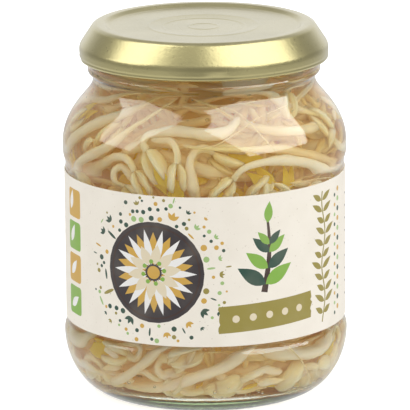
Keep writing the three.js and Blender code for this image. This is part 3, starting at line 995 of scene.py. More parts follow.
# ---- label
@dataclass
class Artwork:
    """Flat shapes in printing order, in millimetres along and up the label."""

    seed: int = 5
    shapes: list[tuple[Shape, Ink]] = field(default_factory=list)

    def __post_init__(self) -> None:
        """Starts the fixed sequence of draws."""
        self.random = np.random.default_rng(self.seed)

    def add(self, shape: Shape, ink: Ink) -> None:
        """Prints a shape over those before it, anticlockwise.

        Args:
            shape: its corners.
            ink: its colour.
        """
        pairs = zip(shape, shape[1:] + shape[:1])
        area = sum(a[0] * b[1] - b[0] * a[1] for a, b in pairs)
        self.shapes.append((shape if area > 0 else shape[::-1], ink))

    @staticmethod
    def _placed(points: Iterable[Pair], x: float, y: float, turn: float) -> Shape:
        """Turns points by degrees and moves them."""
        c, s = math.cos(math.radians(turn)), math.sin(math.radians(turn))
        return [(x + c * u - s * v, y + s * u + c * v) for u, v in points]

    def oval(self, x: float, y: float, wide: float, high: float, ink: Ink, turn: float = 0.0) -> None:
        """Prints an oval of those half-widths.

        Args:
            x: along the label.
            y: up the label.
            wide: half its width.
            high: half its height.
            ink: its colour.
            turn: how far it is turned, in degrees.
        """
        count = max(10, int(6 * math.sqrt(max(wide, high)) + 8))
        ring = (2 * math.pi * i / count for i in range(count))
        self.add(self._placed(((wide * math.cos(a), high * math.sin(a)) for a in ring), x, y, turn), ink)

    def block(self, x: float, y: float, wide: float, high: float, ink: Ink, corner: float = 0.0) -> None:
        """Prints a rectangle from its lower left corner, with round corners.

        Args:
            x: its left edge.
            y: its lower edge.
            wide: its width.
            high: its height.
            ink: its colour.
            corner: the radius of its corners.
        """
        if not corner:
            self.add([(x, y), (x + wide, y), (x + wide, y + high), (x, y + high)], ink)
            return
        centres = ((wide - corner, corner, -90), (wide - corner, high - corner, 0))
        centres += ((corner, high - corner, 90), (corner, corner, 180))
        shape = []
        for cx, cy, start in centres:
            for i in range(5):
                a = math.radians(start + 22.5 * i)
                shape.append((x + cx + corner * math.cos(a), y + cy + corner * math.sin(a)))
        self.add(shape, ink)

    def leaf(self, x: float, y: float, long: float, wide: float, turn: float, ink: Ink) -> None:
        """Prints a pointed leaf that grows from its foot."""
        edge = [(long * i / 8, wide / 2 * math.sin(math.pi * (i / 8) ** 0.8)) for i in range(9)]
        self.add(self._placed(edge + [(u, -v) for u, v in edge[-2:0:-1]], x, y, turn), ink)

    def stroke(self, points: Shape, widths: Sequence[float], ink: Ink) -> None:
        """Prints a line through points, of that width at each.

        Args:
            points: its course.
            widths: its width at each.
            ink: its colour.
        """
        left, right = [], []
        for i, (x, y) in enumerate(points):
            before, after = points[max(i - 1, 0)], points[min(i + 1, len(points) - 1)]
            length = math.dist(before, after)
            nx, ny = (before[1] - after[1]) / length, (after[0] - before[0]) / length
            left.append((x + nx * widths[i] / 2, y + ny * widths[i] / 2))
            right.append((x - nx * widths[i] / 2, y - ny * widths[i] / 2))
        self.add(left + right[::-1], ink)

    def brushed(self, x: float, y: float, wide: float, high: float, rise: float, ink: Ink) -> None:
        """Prints a broad brush mark with ragged ends, which climbs by rise along its length.

        Args:
            x: its left edge.
            y: its lower edge.
            wide: its width.
            high: its height.
            rise: how much higher its right end is.
            ink: its colour.
        """
        rows = 9
        draws = self.random.uniform(-1, 1, (2, rows + 1))
        ends = [[], []]
        for side, start in enumerate((x, x + wide)):
            for i in range(rows + 1):
                ragged = 0.55 * draws[side][i] * (1 if i % 2 else 0.4)
                lift = rise * (0 if side == 0 else 1)
                ends[side].append((start + ragged, y + lift + high * i / rows))
        self.add(ends[0][::-1] + ends[1], ink)


@dataclass
class Label:
    """The paper band, printed flat, cut out and wrapped round the glass."""

    jar: GlassJar
    heights: Pair = (21.1, 63.0)
    gap: float = 0.08
    thick: float = 0.25
    seam: float = 6.0
    strips: int = 150
    rosette: tuple[float, float, float] = (-14.5, -0.5, 14.2)
    confetti: Pair = (14.9, 21.5)
    scattered: int = 420

    def _confetti(self, art: Artwork, x: float, y: float, inner: float, outer: float) -> None:
        """Scatters dots, dashes and seed leaves round a place, none on another.

        Args:
            art: what it is printed on.
            x: along the label.
            y: up the label.
            inner: how near it comes.
            outer: how far it goes.
        """
        inks = (Ink.DEEP_GREEN, Ink.PALE_GREEN, Ink.OCHRE, Ink.OLIVE, Ink.DEEP_GREEN)
        taken: list[tuple[float, float, float]] = []
        for _ in range(self.scattered):
            angle = 2 * math.pi * art.random.uniform(0, 1)
            out = inner + (outer - inner) * art.random.uniform(0, 1) ** 1.2
            u, v = x + out * math.cos(angle), y + out * math.sin(angle)
            ink = inks[int(art.random.integers(len(inks)))]
            size = art.random.uniform(0.42, 0.85) * (1.15 - 0.5 * (out - inner) / (outer - inner))
            kind = art.random.uniform(0, 1)
            room = size * (1.25 if kind < 0.5 else 2.3)
            crowded = any(math.hypot(u - a, v - b) < room + other for a, b, other in taken)
            if crowded or not self.heights[0] + room < v < self.heights[1] - room or out - room < inner - 1:
                continue
            taken.append((u, v, room))
            if kind < 0.5:
                art.oval(u, v, size, size, ink)
            elif kind < 0.78:
                turn = math.degrees(angle) + 90 * (kind > 0.72)
                art.oval(u, v, 2.3 * size, 0.55 * size, ink, turn)
            else:
                foot = (u - size * math.cos(angle), v - size * math.sin(angle))
                for side in (-42, 0, 42):
                    art.leaf(*foot, 2.9 * size, 1.3 * size, math.degrees(angle) + side, ink)

    def _rosette(self, art: Artwork, x: float, y: float, radius: float) -> None:
        """Prints a dark disc that holds two whorls of pale leaves round a seed.

        Args:
            art: what it is printed on.
            x: along the label.
            y: up the label.
            radius: of the disc.
        """
        for size, ink in ((radius, Ink.DARK), (radius - 1.0, Ink.BROWN), (radius - 1.5, Ink.DARK)):
            art.oval(x, y, size, size, ink)
        for count, reach, width, ink, lag in (
            (14, 0.80, 0.17, Ink.OCHRE, 0.5),
            (14, 0.86, 0.12, Ink.WHITE, 0.0),
            (10, 0.56, 0.16, Ink.CREAM, 0.25),
        ):
            for i in range(count):
                turn = 360.0 * (i + lag) / count
                foot = 0.16 * radius
                c, s = math.cos(math.radians(turn)), math.sin(math.radians(turn))
                long = (reach - 0.16) * radius
                art.leaf(x + foot * c, y + foot * s, long, width * radius * 1.25, turn, ink)
        for i in range(8):
            a = math.radians(45 * i + 12)
            u, v = x + 0.22 * radius * math.cos(a), y + 0.22 * radius * math.sin(a)
            art.oval(u, v, 0.62, 0.62, Ink.LEAF_GREEN)
        art.oval(x, y, 0.13 * radius, 0.13 * radius, Ink.OCHRE)

    def _sprig(self, art: Artwork, x: float, y: float, high: float) -> None:
        """Prints an upright sprig of brown stem and green leaves.

        Args:
            art: what it is printed on.
            x: along the label.
            y: up the label.
            high: its height.
        """
        stem = [(x + 1.6 * math.sin(2.4 * t), y + high * t) for t in np.linspace(0, 1, 10)]
        art.stroke(stem, np.linspace(1.9, 0.7, 10).tolist(), Ink.BROWN)
        for i, share in enumerate((0.22, 0.40, 0.57, 0.74)):
            foot = stem[int(share * 9)]
            size = 9.6 - 1.5 * i
            for side in (-1, 1):
                turn = 90 - side * (58 - 5 * i)
                ink = Ink.LEAF_GREEN if (i + (side > 0)) % 2 else Ink.DEEP_GREEN
                art.leaf(foot[0], foot[1], size, 0.42 * size, turn, ink)
        art.leaf(stem[-1][0], stem[-1][1] - 0.6, 6.0, 2.6, 84, Ink.LEAF_GREEN)

    def artwork(self) -> Artwork:
        """Draws a generic plant design with no lettering.

        Returns:
            The shapes.
        """
        art = Artwork()
        low, high = self.heights
        x, above, radius = self.rosette
        y = (low + high) / 2 + above
        self._confetti(art, x, y, *self.confetti)
        self._rosette(art, x, y, radius)
        self._sprig(art, 16.5, low + 14.5, 20.0)
        art.brushed(3.5, low + 3.6, 29.0, 7.6, 1.3, Ink.OLIVE)
        for i in range(5):
            art.oval(8.3 + 4.9 * i, low + 7.6 + 0.22 * i, 1.05, 1.05, Ink.CREAM)
        for i in range(4):
            art.block(-50.0, low + 3.4 + 9.2 * i, 8.0, 8.0, (Ink.LEAF_GREEN, Ink.OCHRE)[i % 2], 1.0)
            art.leaf(-48.4, low + 5.4 + 9.2 * i, 5.8, 2.4, 35 + 14 * i, Ink.WHITE)
        for i in range(11):
            y = low + 5.0 + 3.2 * i
            shift = 0.8 * math.sin(1.1 * i)
            for x, turn in ((38.0, 150), (38.6, 30)):
                art.leaf(x + shift, y, 4.4 + 0.7 * math.sin(2.3 * i + turn), 1.7, turn, Ink.OLIVE)
        vine = [(38.3 + 0.8 * math.sin(1.1 * t), low + 5.0 + 3.2 * t) for t in np.linspace(-0.8, 10.8, 30)]
        art.stroke(vine, [0.5] * 30, Ink.OLIVE)
        for i in range(26):
            ink = (Ink.DEEP_GREEN, Ink.OCHRE, Ink.PALE_GREEN)[i % 3]
            size = 0.55 + 0.2 * (i % 2)
            art.oval(45.0 + 2.2 * (i % 2), low + 3.4 + 1.4 * i, size, size, ink)
        for side in (-1, 1):
            for i in range(9):
                start = 56.0 if side > 0 else -78.0
                line = [(start + 2.4 * j, low + 6.0 + 3.6 * i + 0.5 * (-1) ** j) for j in range(9 - i % 3)]
                art.stroke(line, [0.42] * len(line), Ink.GREY)
            art.block(side * 96.0 - 13.0, low, 26.0, 4.6, Ink.OLIVE)
            for i in range(4):
                art.leaf(side * 96.0 - 8 + 5.2 * i, low + 13.0, 12.0, 4.2, 90, Ink.PALE_GREEN)
        return art

    def _back(self, angles: np.ndarray, radius: float) -> tuple[np.ndarray, list[list[int]]]:
        """The inner face and the four edges of the paper.

        Args:
            angles: the ends of its strips.
            radius: of its outer face.

        Returns:
            Points with their normals, and faces.
        """
        low, high = self.heights
        inner = radius - self.thick

        def line(reach: float, z: float, facing: Pair) -> np.ndarray:
            """A line of points round the jar that face out by one number and up by the other."""
            return np.hstack([around(angles, reach, z), around(angles, *facing)])

        strips = [
            (line(inner, low, (-1, 0)), line(inner, high, (-1, 0))),
            (line(inner, high, (0, 1)), line(radius, high, (0, 1))),
            (line(radius, low, (0, -1)), line(inner, low, (0, -1))),
        ]
        points, faces = [], []
        for first, second in strips:
            start = sum(len(p) for p in points)
            count = len(first)
            points += [first, second]
            for j in range(start, start + count - 1):
                faces.append([j + 1, j, count + j, count + j + 1])
        corners = [(inner, low), (radius, low), (radius, high), (inner, high)]
        for angle, way in ((angles[0], -1), (angles[-1], 1)):
            normal = (way * math.cos(angle), way * math.sin(angle), 0)
            start = sum(len(p) for p in points)
            points.append(np.array([(*around(angle, r, z), *normal) for r, z in corners]))
            faces.append([start + i for i in range(4)][::-way])
        return np.concatenate(points), faces

    def build(self, paper: PrintedPaper) -> None:
        """Cuts the design into faces, wraps them round the glass and thickens them.

        Args:
            paper: its finish.
        """
        low, high = self.heights
        radius = self.jar.panel + self.gap + self.thick
        half = (math.pi - self.seam / 2 / self.jar.panel) * radius
        art = self.artwork()
        columns = np.linspace(-half, half, self.strips + 1).tolist()
        sheets = [
            ([(a, low), (b, low), (b, high), (a, high)], Ink.PAPER)
            for a, b in zip(columns, columns[1:])
        ]
        layers = sheets + art.shapes
        corners, outlines = [], []
        for shape, _ in layers:
            outlines.append(list(range(len(corners), len(corners) + len(shape))))
            corners += [Vector(p) for p in shape]
        flat, _, faces, _, _, sources = delaunay_2d_cdt(corners, [], outlines, 1, 1e-4, True)
        inks = [layers[max(source)][1] for source in sources]
        angles = np.array([p.x for p in flat]) / radius
        heights = np.clip([p.y for p in flat], low, high)
        outer = around(angles, 1.0, heights)
        back, back_faces = self._back(np.array(columns) / radius, radius)
        points = np.concatenate([outer * (radius, radius, 1), back[:, :3]])
        normals = np.concatenate([outer * (1, 1, 0), back[:, 3:]])
        first = len(outer)
        faces = [list(face) for face in faces] + [[first + v for v in face] for face in back_faces]
        inks += [Ink.PAPER] * len(back_faces)
        band = make_mesh("label_band", points, faces)
        band.data.normals_split_custom_set_from_vertices(normals.tolist())
        colours = np.array([(*ink.value, 1.0) for ink in inks])
        sides = [len(face) for face in faces]
        attributes = band.data.attributes
        attributes.new("ink", "FLOAT_COLOR", "CORNER").data.foreach_set(
            "color", np.repeat(colours, sides, axis=0).ravel()
        )
        plain = np.array([float(ink is Ink.PAPER) for ink in inks])
        attributes.new("plain", "FLOAT", "FACE").data.foreach_set("value", plain)
        finish_piece(band, JAR_BODY, "label", paper.material(), "label")


# ---- sprouts
class Draws:
    """A fixed sequence of numbers from 0 to 1."""

    def __init__(self, seed: int) -> None:
        """Starts the sequence."""
        self.state = seed

    def __call__(self) -> float:
        """The next number."""
        self.state = (self.state * 1664525 + 1013904223) % 4294967296
        return self.state / 4294967296


class Part(Enum):
    """What a stretch of a sprout is."""

    ROOT = 0
    STEM = 1
    BEAN = 2
    LEAF = 3


@dataclass
class Station:
    """A place along a sprout: its angle, its distance along the glass, and its half-width."""

    angle: float
    s: float
    radius: float
    part: Part


@dataclass
class Build:
    """What one sprout is like, wherever it lies."""

    bend: float
    wave: float
    stem: float
    thick: float
    root: float
    hook: float
    whole: bool
    leaf: float
    roll: float
    phase: float
    bean: float

    @classmethod
    def drawn(cls, draw: Draws) -> "Build":
        """Draws one sprout's build.

        Args:
            draw: the sequence of draws.

        Returns:
            The build.
        """
        return cls(
            bend=math.radians((draw() - 0.5) * 110),
            wave=math.radians(draw() * 26),
            stem=24 + draw() * 20,
            thick=1.25 + draw() * 0.4,
            root=8 + draw() * 10 if draw() < 0.6 else 0.0,
            hook=(-1 if draw() < 0.5 else 1) * math.radians(60 + draw() * 110),
            whole=draw() < 0.66,
            leaf=3 + draw() * 2 if draw() < 0.7 else 0.0,
            roll=math.radians((draw() - 0.5) * 70),
            phase=draw() * 2 * math.pi,
            bean=8 + draw() * 2,
        )


@dataclass
class Lying:
    """A sprout that has its place: its stations and how deep each lies under the glass."""

    build: Build
    stations: list[Station]
    depths: list[float]


class Wall:
    """The inside of the glass as the sprouts know it, a line from the floor to the neck."""

    GAP = 0.12

    def __init__(self, jar: GlassJar, from_radius: float, to_height: float) -> None:
        """Measures the line.

        Args:
            jar: the jar.
            from_radius: where on the floor the line starts.
            to_height: how high sprouts reach.
        """
        kept = [p for p in jar.inside(3).points if p[0] >= from_radius or p[1] > jar.floor + 2]
        self.points = np.array(kept, float)
        steps = np.hypot(*np.diff(self.points, axis=0).T)
        self.reach = np.concatenate([[0.0], np.cumsum(steps)])
        ends = np.arange(len(kept))
        along = self.points[np.minimum(ends + 1, len(kept) - 1)] - self.points[np.maximum(ends - 1, 0)]
        normals = np.stack([-along[:, 1], along[:, 0]], 1)
        self.normals = normals / np.hypot(*normals.T)[:, None]
        top = next(i for i, p in enumerate(kept) if p[1] > to_height)
        (_, z0), (_, z1) = kept[top - 1], kept[top]
        rise = (to_height - z0) / (z1 - z0)
        self.high = self.reach[top - 1] + rise * (self.reach[top] - self.reach[top - 1])

    def at(self, s: Numbers) -> tuple[np.ndarray, np.ndarray]:
        """The radius and height at s, and the normal into the jar.

        Args:
            s: distances along the line.

        Returns:
            The places and the normals, two numbers each.
        """
        s = np.atleast_1d(s)
        i = np.clip(np.searchsorted(self.reach, s, side="left"), 1, len(self.reach) - 1)
        share = ((s - self.reach[i - 1]) / (self.reach[i] - self.reach[i - 1]))[:, None]
        places = self.points[i - 1] + (self.points[i] - self.points[i - 1]) * share
        normals = self.normals[i - 1] + (self.normals[i] - self.normals[i - 1]) * share
        return places, normals

    def pressed(self, points: np.ndarray) -> np.ndarray:
        """Moves what would cross the glass back inside.

        Args:
            points: any points.

        Returns:
            The points, none of them in the glass.
        """
        turn = int(np.argmin(self.points[:, 1]))
        floor, side = self.points[: turn + 1], self.points[turn:]
        r = np.hypot(points[:, 0], points[:, 1])
        reach = np.interp(points[:, 2], side[:, 1], side[:, 0]) - self.GAP
        share = np.minimum(1.0, reach / np.maximum(r, 0.01))
        low = np.interp(r * share, floor[:, 0], floor[:, 1]) + self.GAP
        return np.column_stack([points[:, :2] * share[:, None], np.maximum(points[:, 2], low)])

    def girth(self, s: Numbers) -> np.ndarray:
        """How far it is round the tangle at s, over 2 pi."""
        return np.maximum(self.at(s)[0][:, 0] - 3, 8)


@dataclass(frozen=True)
class PackRule:
    """How the sprouts are laid down, from the glass inwards."""

    start: float = 1.1
    bulge_from: float = 76.0
    bulge_start: float = 1.9
    clearance: float = 0.36
    core: float = 8.9
    from_radius: float = 15.0
    to_height: float = 90.6
    lowest: float = 2.0
    above_heel: float = 27.0
    cells: int = 240
    cell: float = 1.0
    sample: float = 1.2
    ease: int = 4
    stem_steps: int = 5
    hook_steps: int = 3
    hook_step: float = 2.5
    hook_neck: float = 0.62
    steepest: float = 85.0
    root: Pair = (0.38, 0.5)
    foot: float = 0.55
    neck: float = 0.66
    bean: tuple[Pair, ...] = ((0.2, 1.9), (0.25, 2.4), (0.3, 2.3), (0.22, 1.2))
    leaf: tuple[Pair, ...] = ((0.6, 1.25), (0.4, 0.6))
    soft: float = 2.5


@dataclass(frozen=True)
class Manner:
    """How one run of sprouts is laid."""

    tries: int
    least: float
    zone: Pair
    clearance: float
    ease: int
    cap: float = 99.0
    length: float = 1.0
    turn: float = 1.0
    headless: float = 0.0
    leaf: float = 1.0


class Tangle:
    """The map of how deep the sprouts reach, and the laying of each new one over it."""

    def __init__(self, jar: GlassJar, rule: PackRule, seed: int) -> None:
        """Starts with an empty jar.

        Args:
            jar: the jar.
            rule: how sprouts are laid.
            seed: of the draws.
        """
        self.rule = rule
        self.draw = Draws(seed)
        self.wall = Wall(jar, rule.from_radius, rule.to_height)
        self.rows = math.ceil(self.wall.high / rule.cell) + 4
        self.column = 2 * math.pi / rule.cells
        heights = self.wall.at(np.arange(self.rows) * rule.cell)[0][:, 1]
        start = np.where(heights > rule.bulge_from, rule.bulge_start, rule.start)
        self.map = np.repeat(start[:, None], rule.cells, axis=1)

    def kept_inside(self, s: float, zone: Pair) -> float:
        """Keeps s between the ends of a zone, with no sharp turn.

        Args:
            s: a distance along the glass.
            zone: the ends.

        Returns:
            The distance inside them.
        """
        soft = self.rule.soft
        above = zone[0] + soft * math.log(1 + math.exp((s - zone[0]) / soft))
        return zone[1] - soft * math.log(1 + math.exp((zone[1] - above) / soft))

    def course(self, build: Build, zone: Pair, turn: float = 1.0) -> list[Station]:
        """Draws a place for a sprout.

        Args:
            build: the sprout.
            zone: the stretch of the glass that it stays on.
            turn: how steeply it may lie, 1 for as steep as any.

        Returns:
            Its stations, from root to tip.
        """
        rule, draw = self.rule, self.draw
        angle = draw() * 2 * math.pi
        s = zone[0] + draw() * (zone[1] - zone[0])
        heading = math.radians((draw() + draw() - 1) * rule.steepest * turn)
        heading = heading + (math.pi if draw() < 0.5 else 0) - build.bend / 2
        stations: list[Station] = []

        def walk(length: float) -> None:
            """Goes on along the heading.

            Args:
                length: how far.
            """
            nonlocal angle, s
            girth = float(self.wall.girth(self.kept_inside(s, zone))[0])
            angle += math.cos(heading) * length / girth
            s += math.sin(heading) * length

        def put(radius: float, part: Part) -> None:
            """Adds a station here."""
            stations.append(Station(angle, self.kept_inside(s, zone), radius, part))

        walk(-(build.root + build.stem) / 2)
        for radius in rule.root if build.root else ():
            put(radius, Part.ROOT)
            walk(build.root / 2)
            heading += 0.3 * build.hook * (radius - 0.4)
        for i in range(rule.stem_steps + 1):
            t = i / rule.stem_steps
            foot = rule.foot if build.root and i == 0 else 1
            neck = rule.neck if build.whole and i == rule.stem_steps else 1
            put(build.thick * foot * neck, Part.STEM)
            if i < rule.stem_steps:
                walk(build.stem / rule.stem_steps)
            heading += build.bend / rule.stem_steps + build.wave * math.cos(2 * math.pi * t + build.phase)
        if not build.whole:
            return stations
        for _ in range(rule.hook_steps):
            heading += build.hook / rule.hook_steps
            walk(rule.hook_step)
            put(build.thick * rule.hook_neck, Part.STEM)
        for share, radius in rule.bean:
            walk(build.bean * share)
            put(radius, Part.BEAN)
        for share, radius in rule.leaf if build.leaf else ():
            walk(build.leaf * share)
            put(radius, Part.LEAF)
        return stations

    def _reached(self, places: np.ndarray) -> tuple[np.ndarray, np.ndarray, np.ndarray]:
        """The cells near each place, and how far a piece of its radius rises over each.

        Args:
            places: the angle, s and radius of each place.

        Returns:
            The rows and columns of the cells, and the rises, which are -1 out of reach.
        """
        rule = self.rule
        angle, s, radius = (places[:, i, None, None] for i in range(3))
        girth = self.wall.girth(places[:, 1])[:, None, None]
        wide = math.ceil(float(((radius + 0.5) / (self.column * girth)).max()))
        high = math.ceil(float((radius.max() + 0.5) / rule.cell))
        rows = np.floor(s / rule.cell).astype(int) + np.arange(-high, high + 1)[None, :, None]
        columns = np.floor(angle / self.column).astype(int) + np.arange(-wide, wide + 1)[None, None, :]
        up = (rows + 0.5) * rule.cell - s
        across = ((columns + 0.5) * self.column - angle) * girth
        away = np.maximum(np.hypot(up, across) - 0.5, 0)
        near = (away < radius) & (rows >= 0) & (rows < self.rows)
        rise = np.where(near, np.sqrt(np.maximum(radius**2 - away**2, 0)), -1.0)
        rows, columns = np.broadcast_arrays(np.clip(rows, 0, self.rows - 1), columns % rule.cells)
        return rows, columns, rise

    def _samples(self, stations: list[Station]) -> tuple[np.ndarray, list[int]]:
        """Places close together along a sprout, and which of them are its stations.

        Args:
            stations: the stations.

        Returns:
            The angle, s and radius of each place, and the stations' numbers.
        """
        first = stations[0]
        places = [(first.angle, first.s, first.radius)]
        marks = [0]
        girths = self.wall.girth(np.array([station.s for station in stations]))
        for start, end, girth in zip(stations, stations[1:], girths[1:]):
            length = math.hypot((end.angle - start.angle) * girth, end.s - start.s)
            parts = max(1, math.ceil(length / self.rule.sample))
            for k in range(1, parts + 1):
                a, b = (start.angle, start.s, start.radius), (end.angle, end.s, end.radius)
                places.append(tuple(u + (v - u) * k / parts for u, v in zip(a, b)))
            marks.append(len(places) - 1)
        return np.array(places), marks

    def lay(self, manner: Manner) -> Lying:
        """Lays one sprout in the best of several places.

        Args:
            manner: how it is laid.

        Returns:
            The sprout, which the map then holds.
        """
        build = Build.drawn(self.draw)
        build.stem *= manner.length
        build.bend *= manner.turn
        build.leaf *= manner.leaf
        build.root *= manner.length
        if manner.headless:
            build.whole = build.whole and self.draw() > manner.headless
        best = None
        for _ in range(manner.tries):
            stations = self.course(build, manner.zone, manner.turn)
            places, marks = self._samples(stations)
            rows, columns, rise = self._reached(places)
            over = np.where(rise >= 0, self.map[rows, columns] + manner.clearance + rise, -99.0)
            needed = np.maximum(manner.least - places[:, 2] * 0.4, over.max(axis=(1, 2)))
            cap = manner.cap - places[:, 2]
            crowded = float((needed > cap).mean())
            needed = np.minimum(needed, cap)
            ease, count = manner.ease, len(needed)
            spans = [slice(max(i - ease, 0), i + ease + 1) for i in range(count)]
            highest = np.array([needed[span].max() for span in spans])
            depth = np.array([highest[span].mean() for span in spans])
            reached = depth + places[:, 2]
            cost = float(reached.max() if manner.cap > 90 else reached.mean() + 2 * crowded)
            if best is None or cost < best[0]:
                best = (cost, stations, depth, marks, rows, columns, rise)
        _, stations, depth, marks, rows, columns, rise = best
        filled = np.where(rise >= 0, depth[:, None, None] + rise, -99.0)
        np.maximum.at(self.map, (rows, columns), filled)
        return Lying(build, stations, [float(depth[i]) for i in marks])


def smooth_course(knots: np.ndarray, values: np.ndarray, at: np.ndarray) -> np.ndarray:
    """Smooth values along a course.

    Args:
        knots: distances at which the values are known.
        values: a row for each knot.
        at: the distances wanted.

    Returns:
        A row for each of them.
    """
    slopes = np.gradient(values, knots, axis=0)
    i = np.clip(np.searchsorted(knots, at, side="right") - 1, 0, len(knots) - 2)
    span = (knots[i + 1] - knots[i])[:, None]
    t = np.clip((at - knots[i])[:, None] / span, 0, 1)
    k = 1 - t
    ends = (1 + 2 * t) * k * k * values[i] + t * t * (3 - 2 * t) * values[i + 1]
    inside = ends + t * k * k * span * slopes[i] - t * t * k * span * slopes[i + 1]
    return inside + np.maximum(at - knots[-1], 0)[:, None] * slopes[-1]


def unit(vectors: np.ndarray) -> np.ndarray:
    """Vectors of length 1 along the given ones."""
    return vectors / np.linalg.norm(vectors, axis=-1, keepdims=True)


class Flesh:
    """Soft forms gathered into one mesh, with the looks of every point."""

    # deep is the share of painted amber shade that a point takes.
    LOOKS = ("tone", "root", "bean", "leaf", "deep", "around")

    def __init__(self) -> None:
        """Starts with no forms."""
        self.points: list[np.ndarray] = []
        self.faces: list[list[int]] = []
        self.looks: list[np.ndarray] = []
        self.count = 0

    def loft(self, rings: np.ndarray, looks: np.ndarray) -> None:
        """Adds a closed skin.

        Args:
            rings: its rings of points, each anticlockwise about the way they advance.
            looks: the looks of each ring, all but the place around it.
        """
        n, m, _ = rings.shape
        grid = self.count + np.arange(n * m).reshape(n, m)
        right = np.roll(grid, -1, axis=1)
        quads = np.stack([grid[:-1], right[:-1], right[1:], grid[1:]], -1)
        self.faces += quads.reshape(-1, 4).tolist()
        first = self.count + n * m
        self.faces += [[first, int(b), int(a)] for a, b in zip(grid[0], right[0])]
        self.faces += [[first + 1, int(a), int(b)] for a, b in zip(grid[-1], right[-1])]
        self.points += [rings.reshape(-1, 3), rings[[0, -1]].mean(axis=1)]
        turns = np.tile((np.arange(m) / m + 0.5) % 1.0, n)
        looks = np.column_stack([np.repeat(looks, m, axis=0), turns])
        self.looks += [looks, looks[[0, -1]]]
        self.count += n * m + 2

    def piece(self, name: str) -> bpy.types.Object:
        """Makes the mesh.

        Args:
            name: its name.

        Returns:
            The object.
        """
        made = make_mesh(name, np.concatenate(self.points), self.faces)
        looks = np.concatenate(self.looks)
        for i, look in enumerate(self.LOOKS):
            attribute = made.data.attributes.new(look, "FLOAT", "POINT")
            attribute.data.foreach_set("value", np.clip(looks[:, i], 0, 1))
        return made


@dataclass
class Course:
    """The smooth line of one sprout, with the frame of its sections."""

    wall: Wall
    lying: Lying
    press: float
    # Painted shade: the depths under the glass over which the amber darkening grows.
    painted_shade_from: float = 5.5
    painted_shade_over: float = 8.0

    def __post_init__(self) -> None:
        """Places the stations in the jar."""
        stations = self.lying.stations
        places, normals = self.wall.at(np.array([station.s for station in stations]))
        depth = np.array(self.lying.depths)
        depth = depth - self.press * np.clip(1.6 - depth / 8, 0, 1)
        angle = np.array([station.angle for station in stations])
        self.points = around(angle, *(places + normals * depth[:, None]).T)
        self.outward = -around(angle, *normals.T)
        steps = np.maximum(np.linalg.norm(np.diff(self.points, axis=0), axis=1), 0.3)
        self.knots = np.concatenate([[0.0], np.cumsum(steps)])
        self.depth = depth

    def frames(self, at: np.ndarray, roll: float = 0.0) -> tuple[np.ndarray, np.ndarray, np.ndarray]:
        """Where the line is, and which way its sections face.

        Args:
            at: distances along it.
            roll: how far the sections are turned, in radians.

        Returns:
            The centres, and the two axes of each section.
        """
        centres = smooth_course(self.knots, self.points, at)
        along = unit(np.gradient(centres, at, axis=0))
        outward = smooth_course(self.knots, self.outward, at)
        side = unit(np.cross(along, outward))
        down = np.cross(along, side)
        c, s = math.cos(roll), math.sin(roll)
        return centres, side * c + down * s, down * c - side * s

    def deep(self, at: np.ndarray) -> np.ndarray:
        """How much painted amber shade it takes for the liquid in front, from 0 to 1."""
        return np.clip((np.interp(at, self.knots, self.depth) - self.painted_shade_from) / self.painted_shade_over, 0, 1)


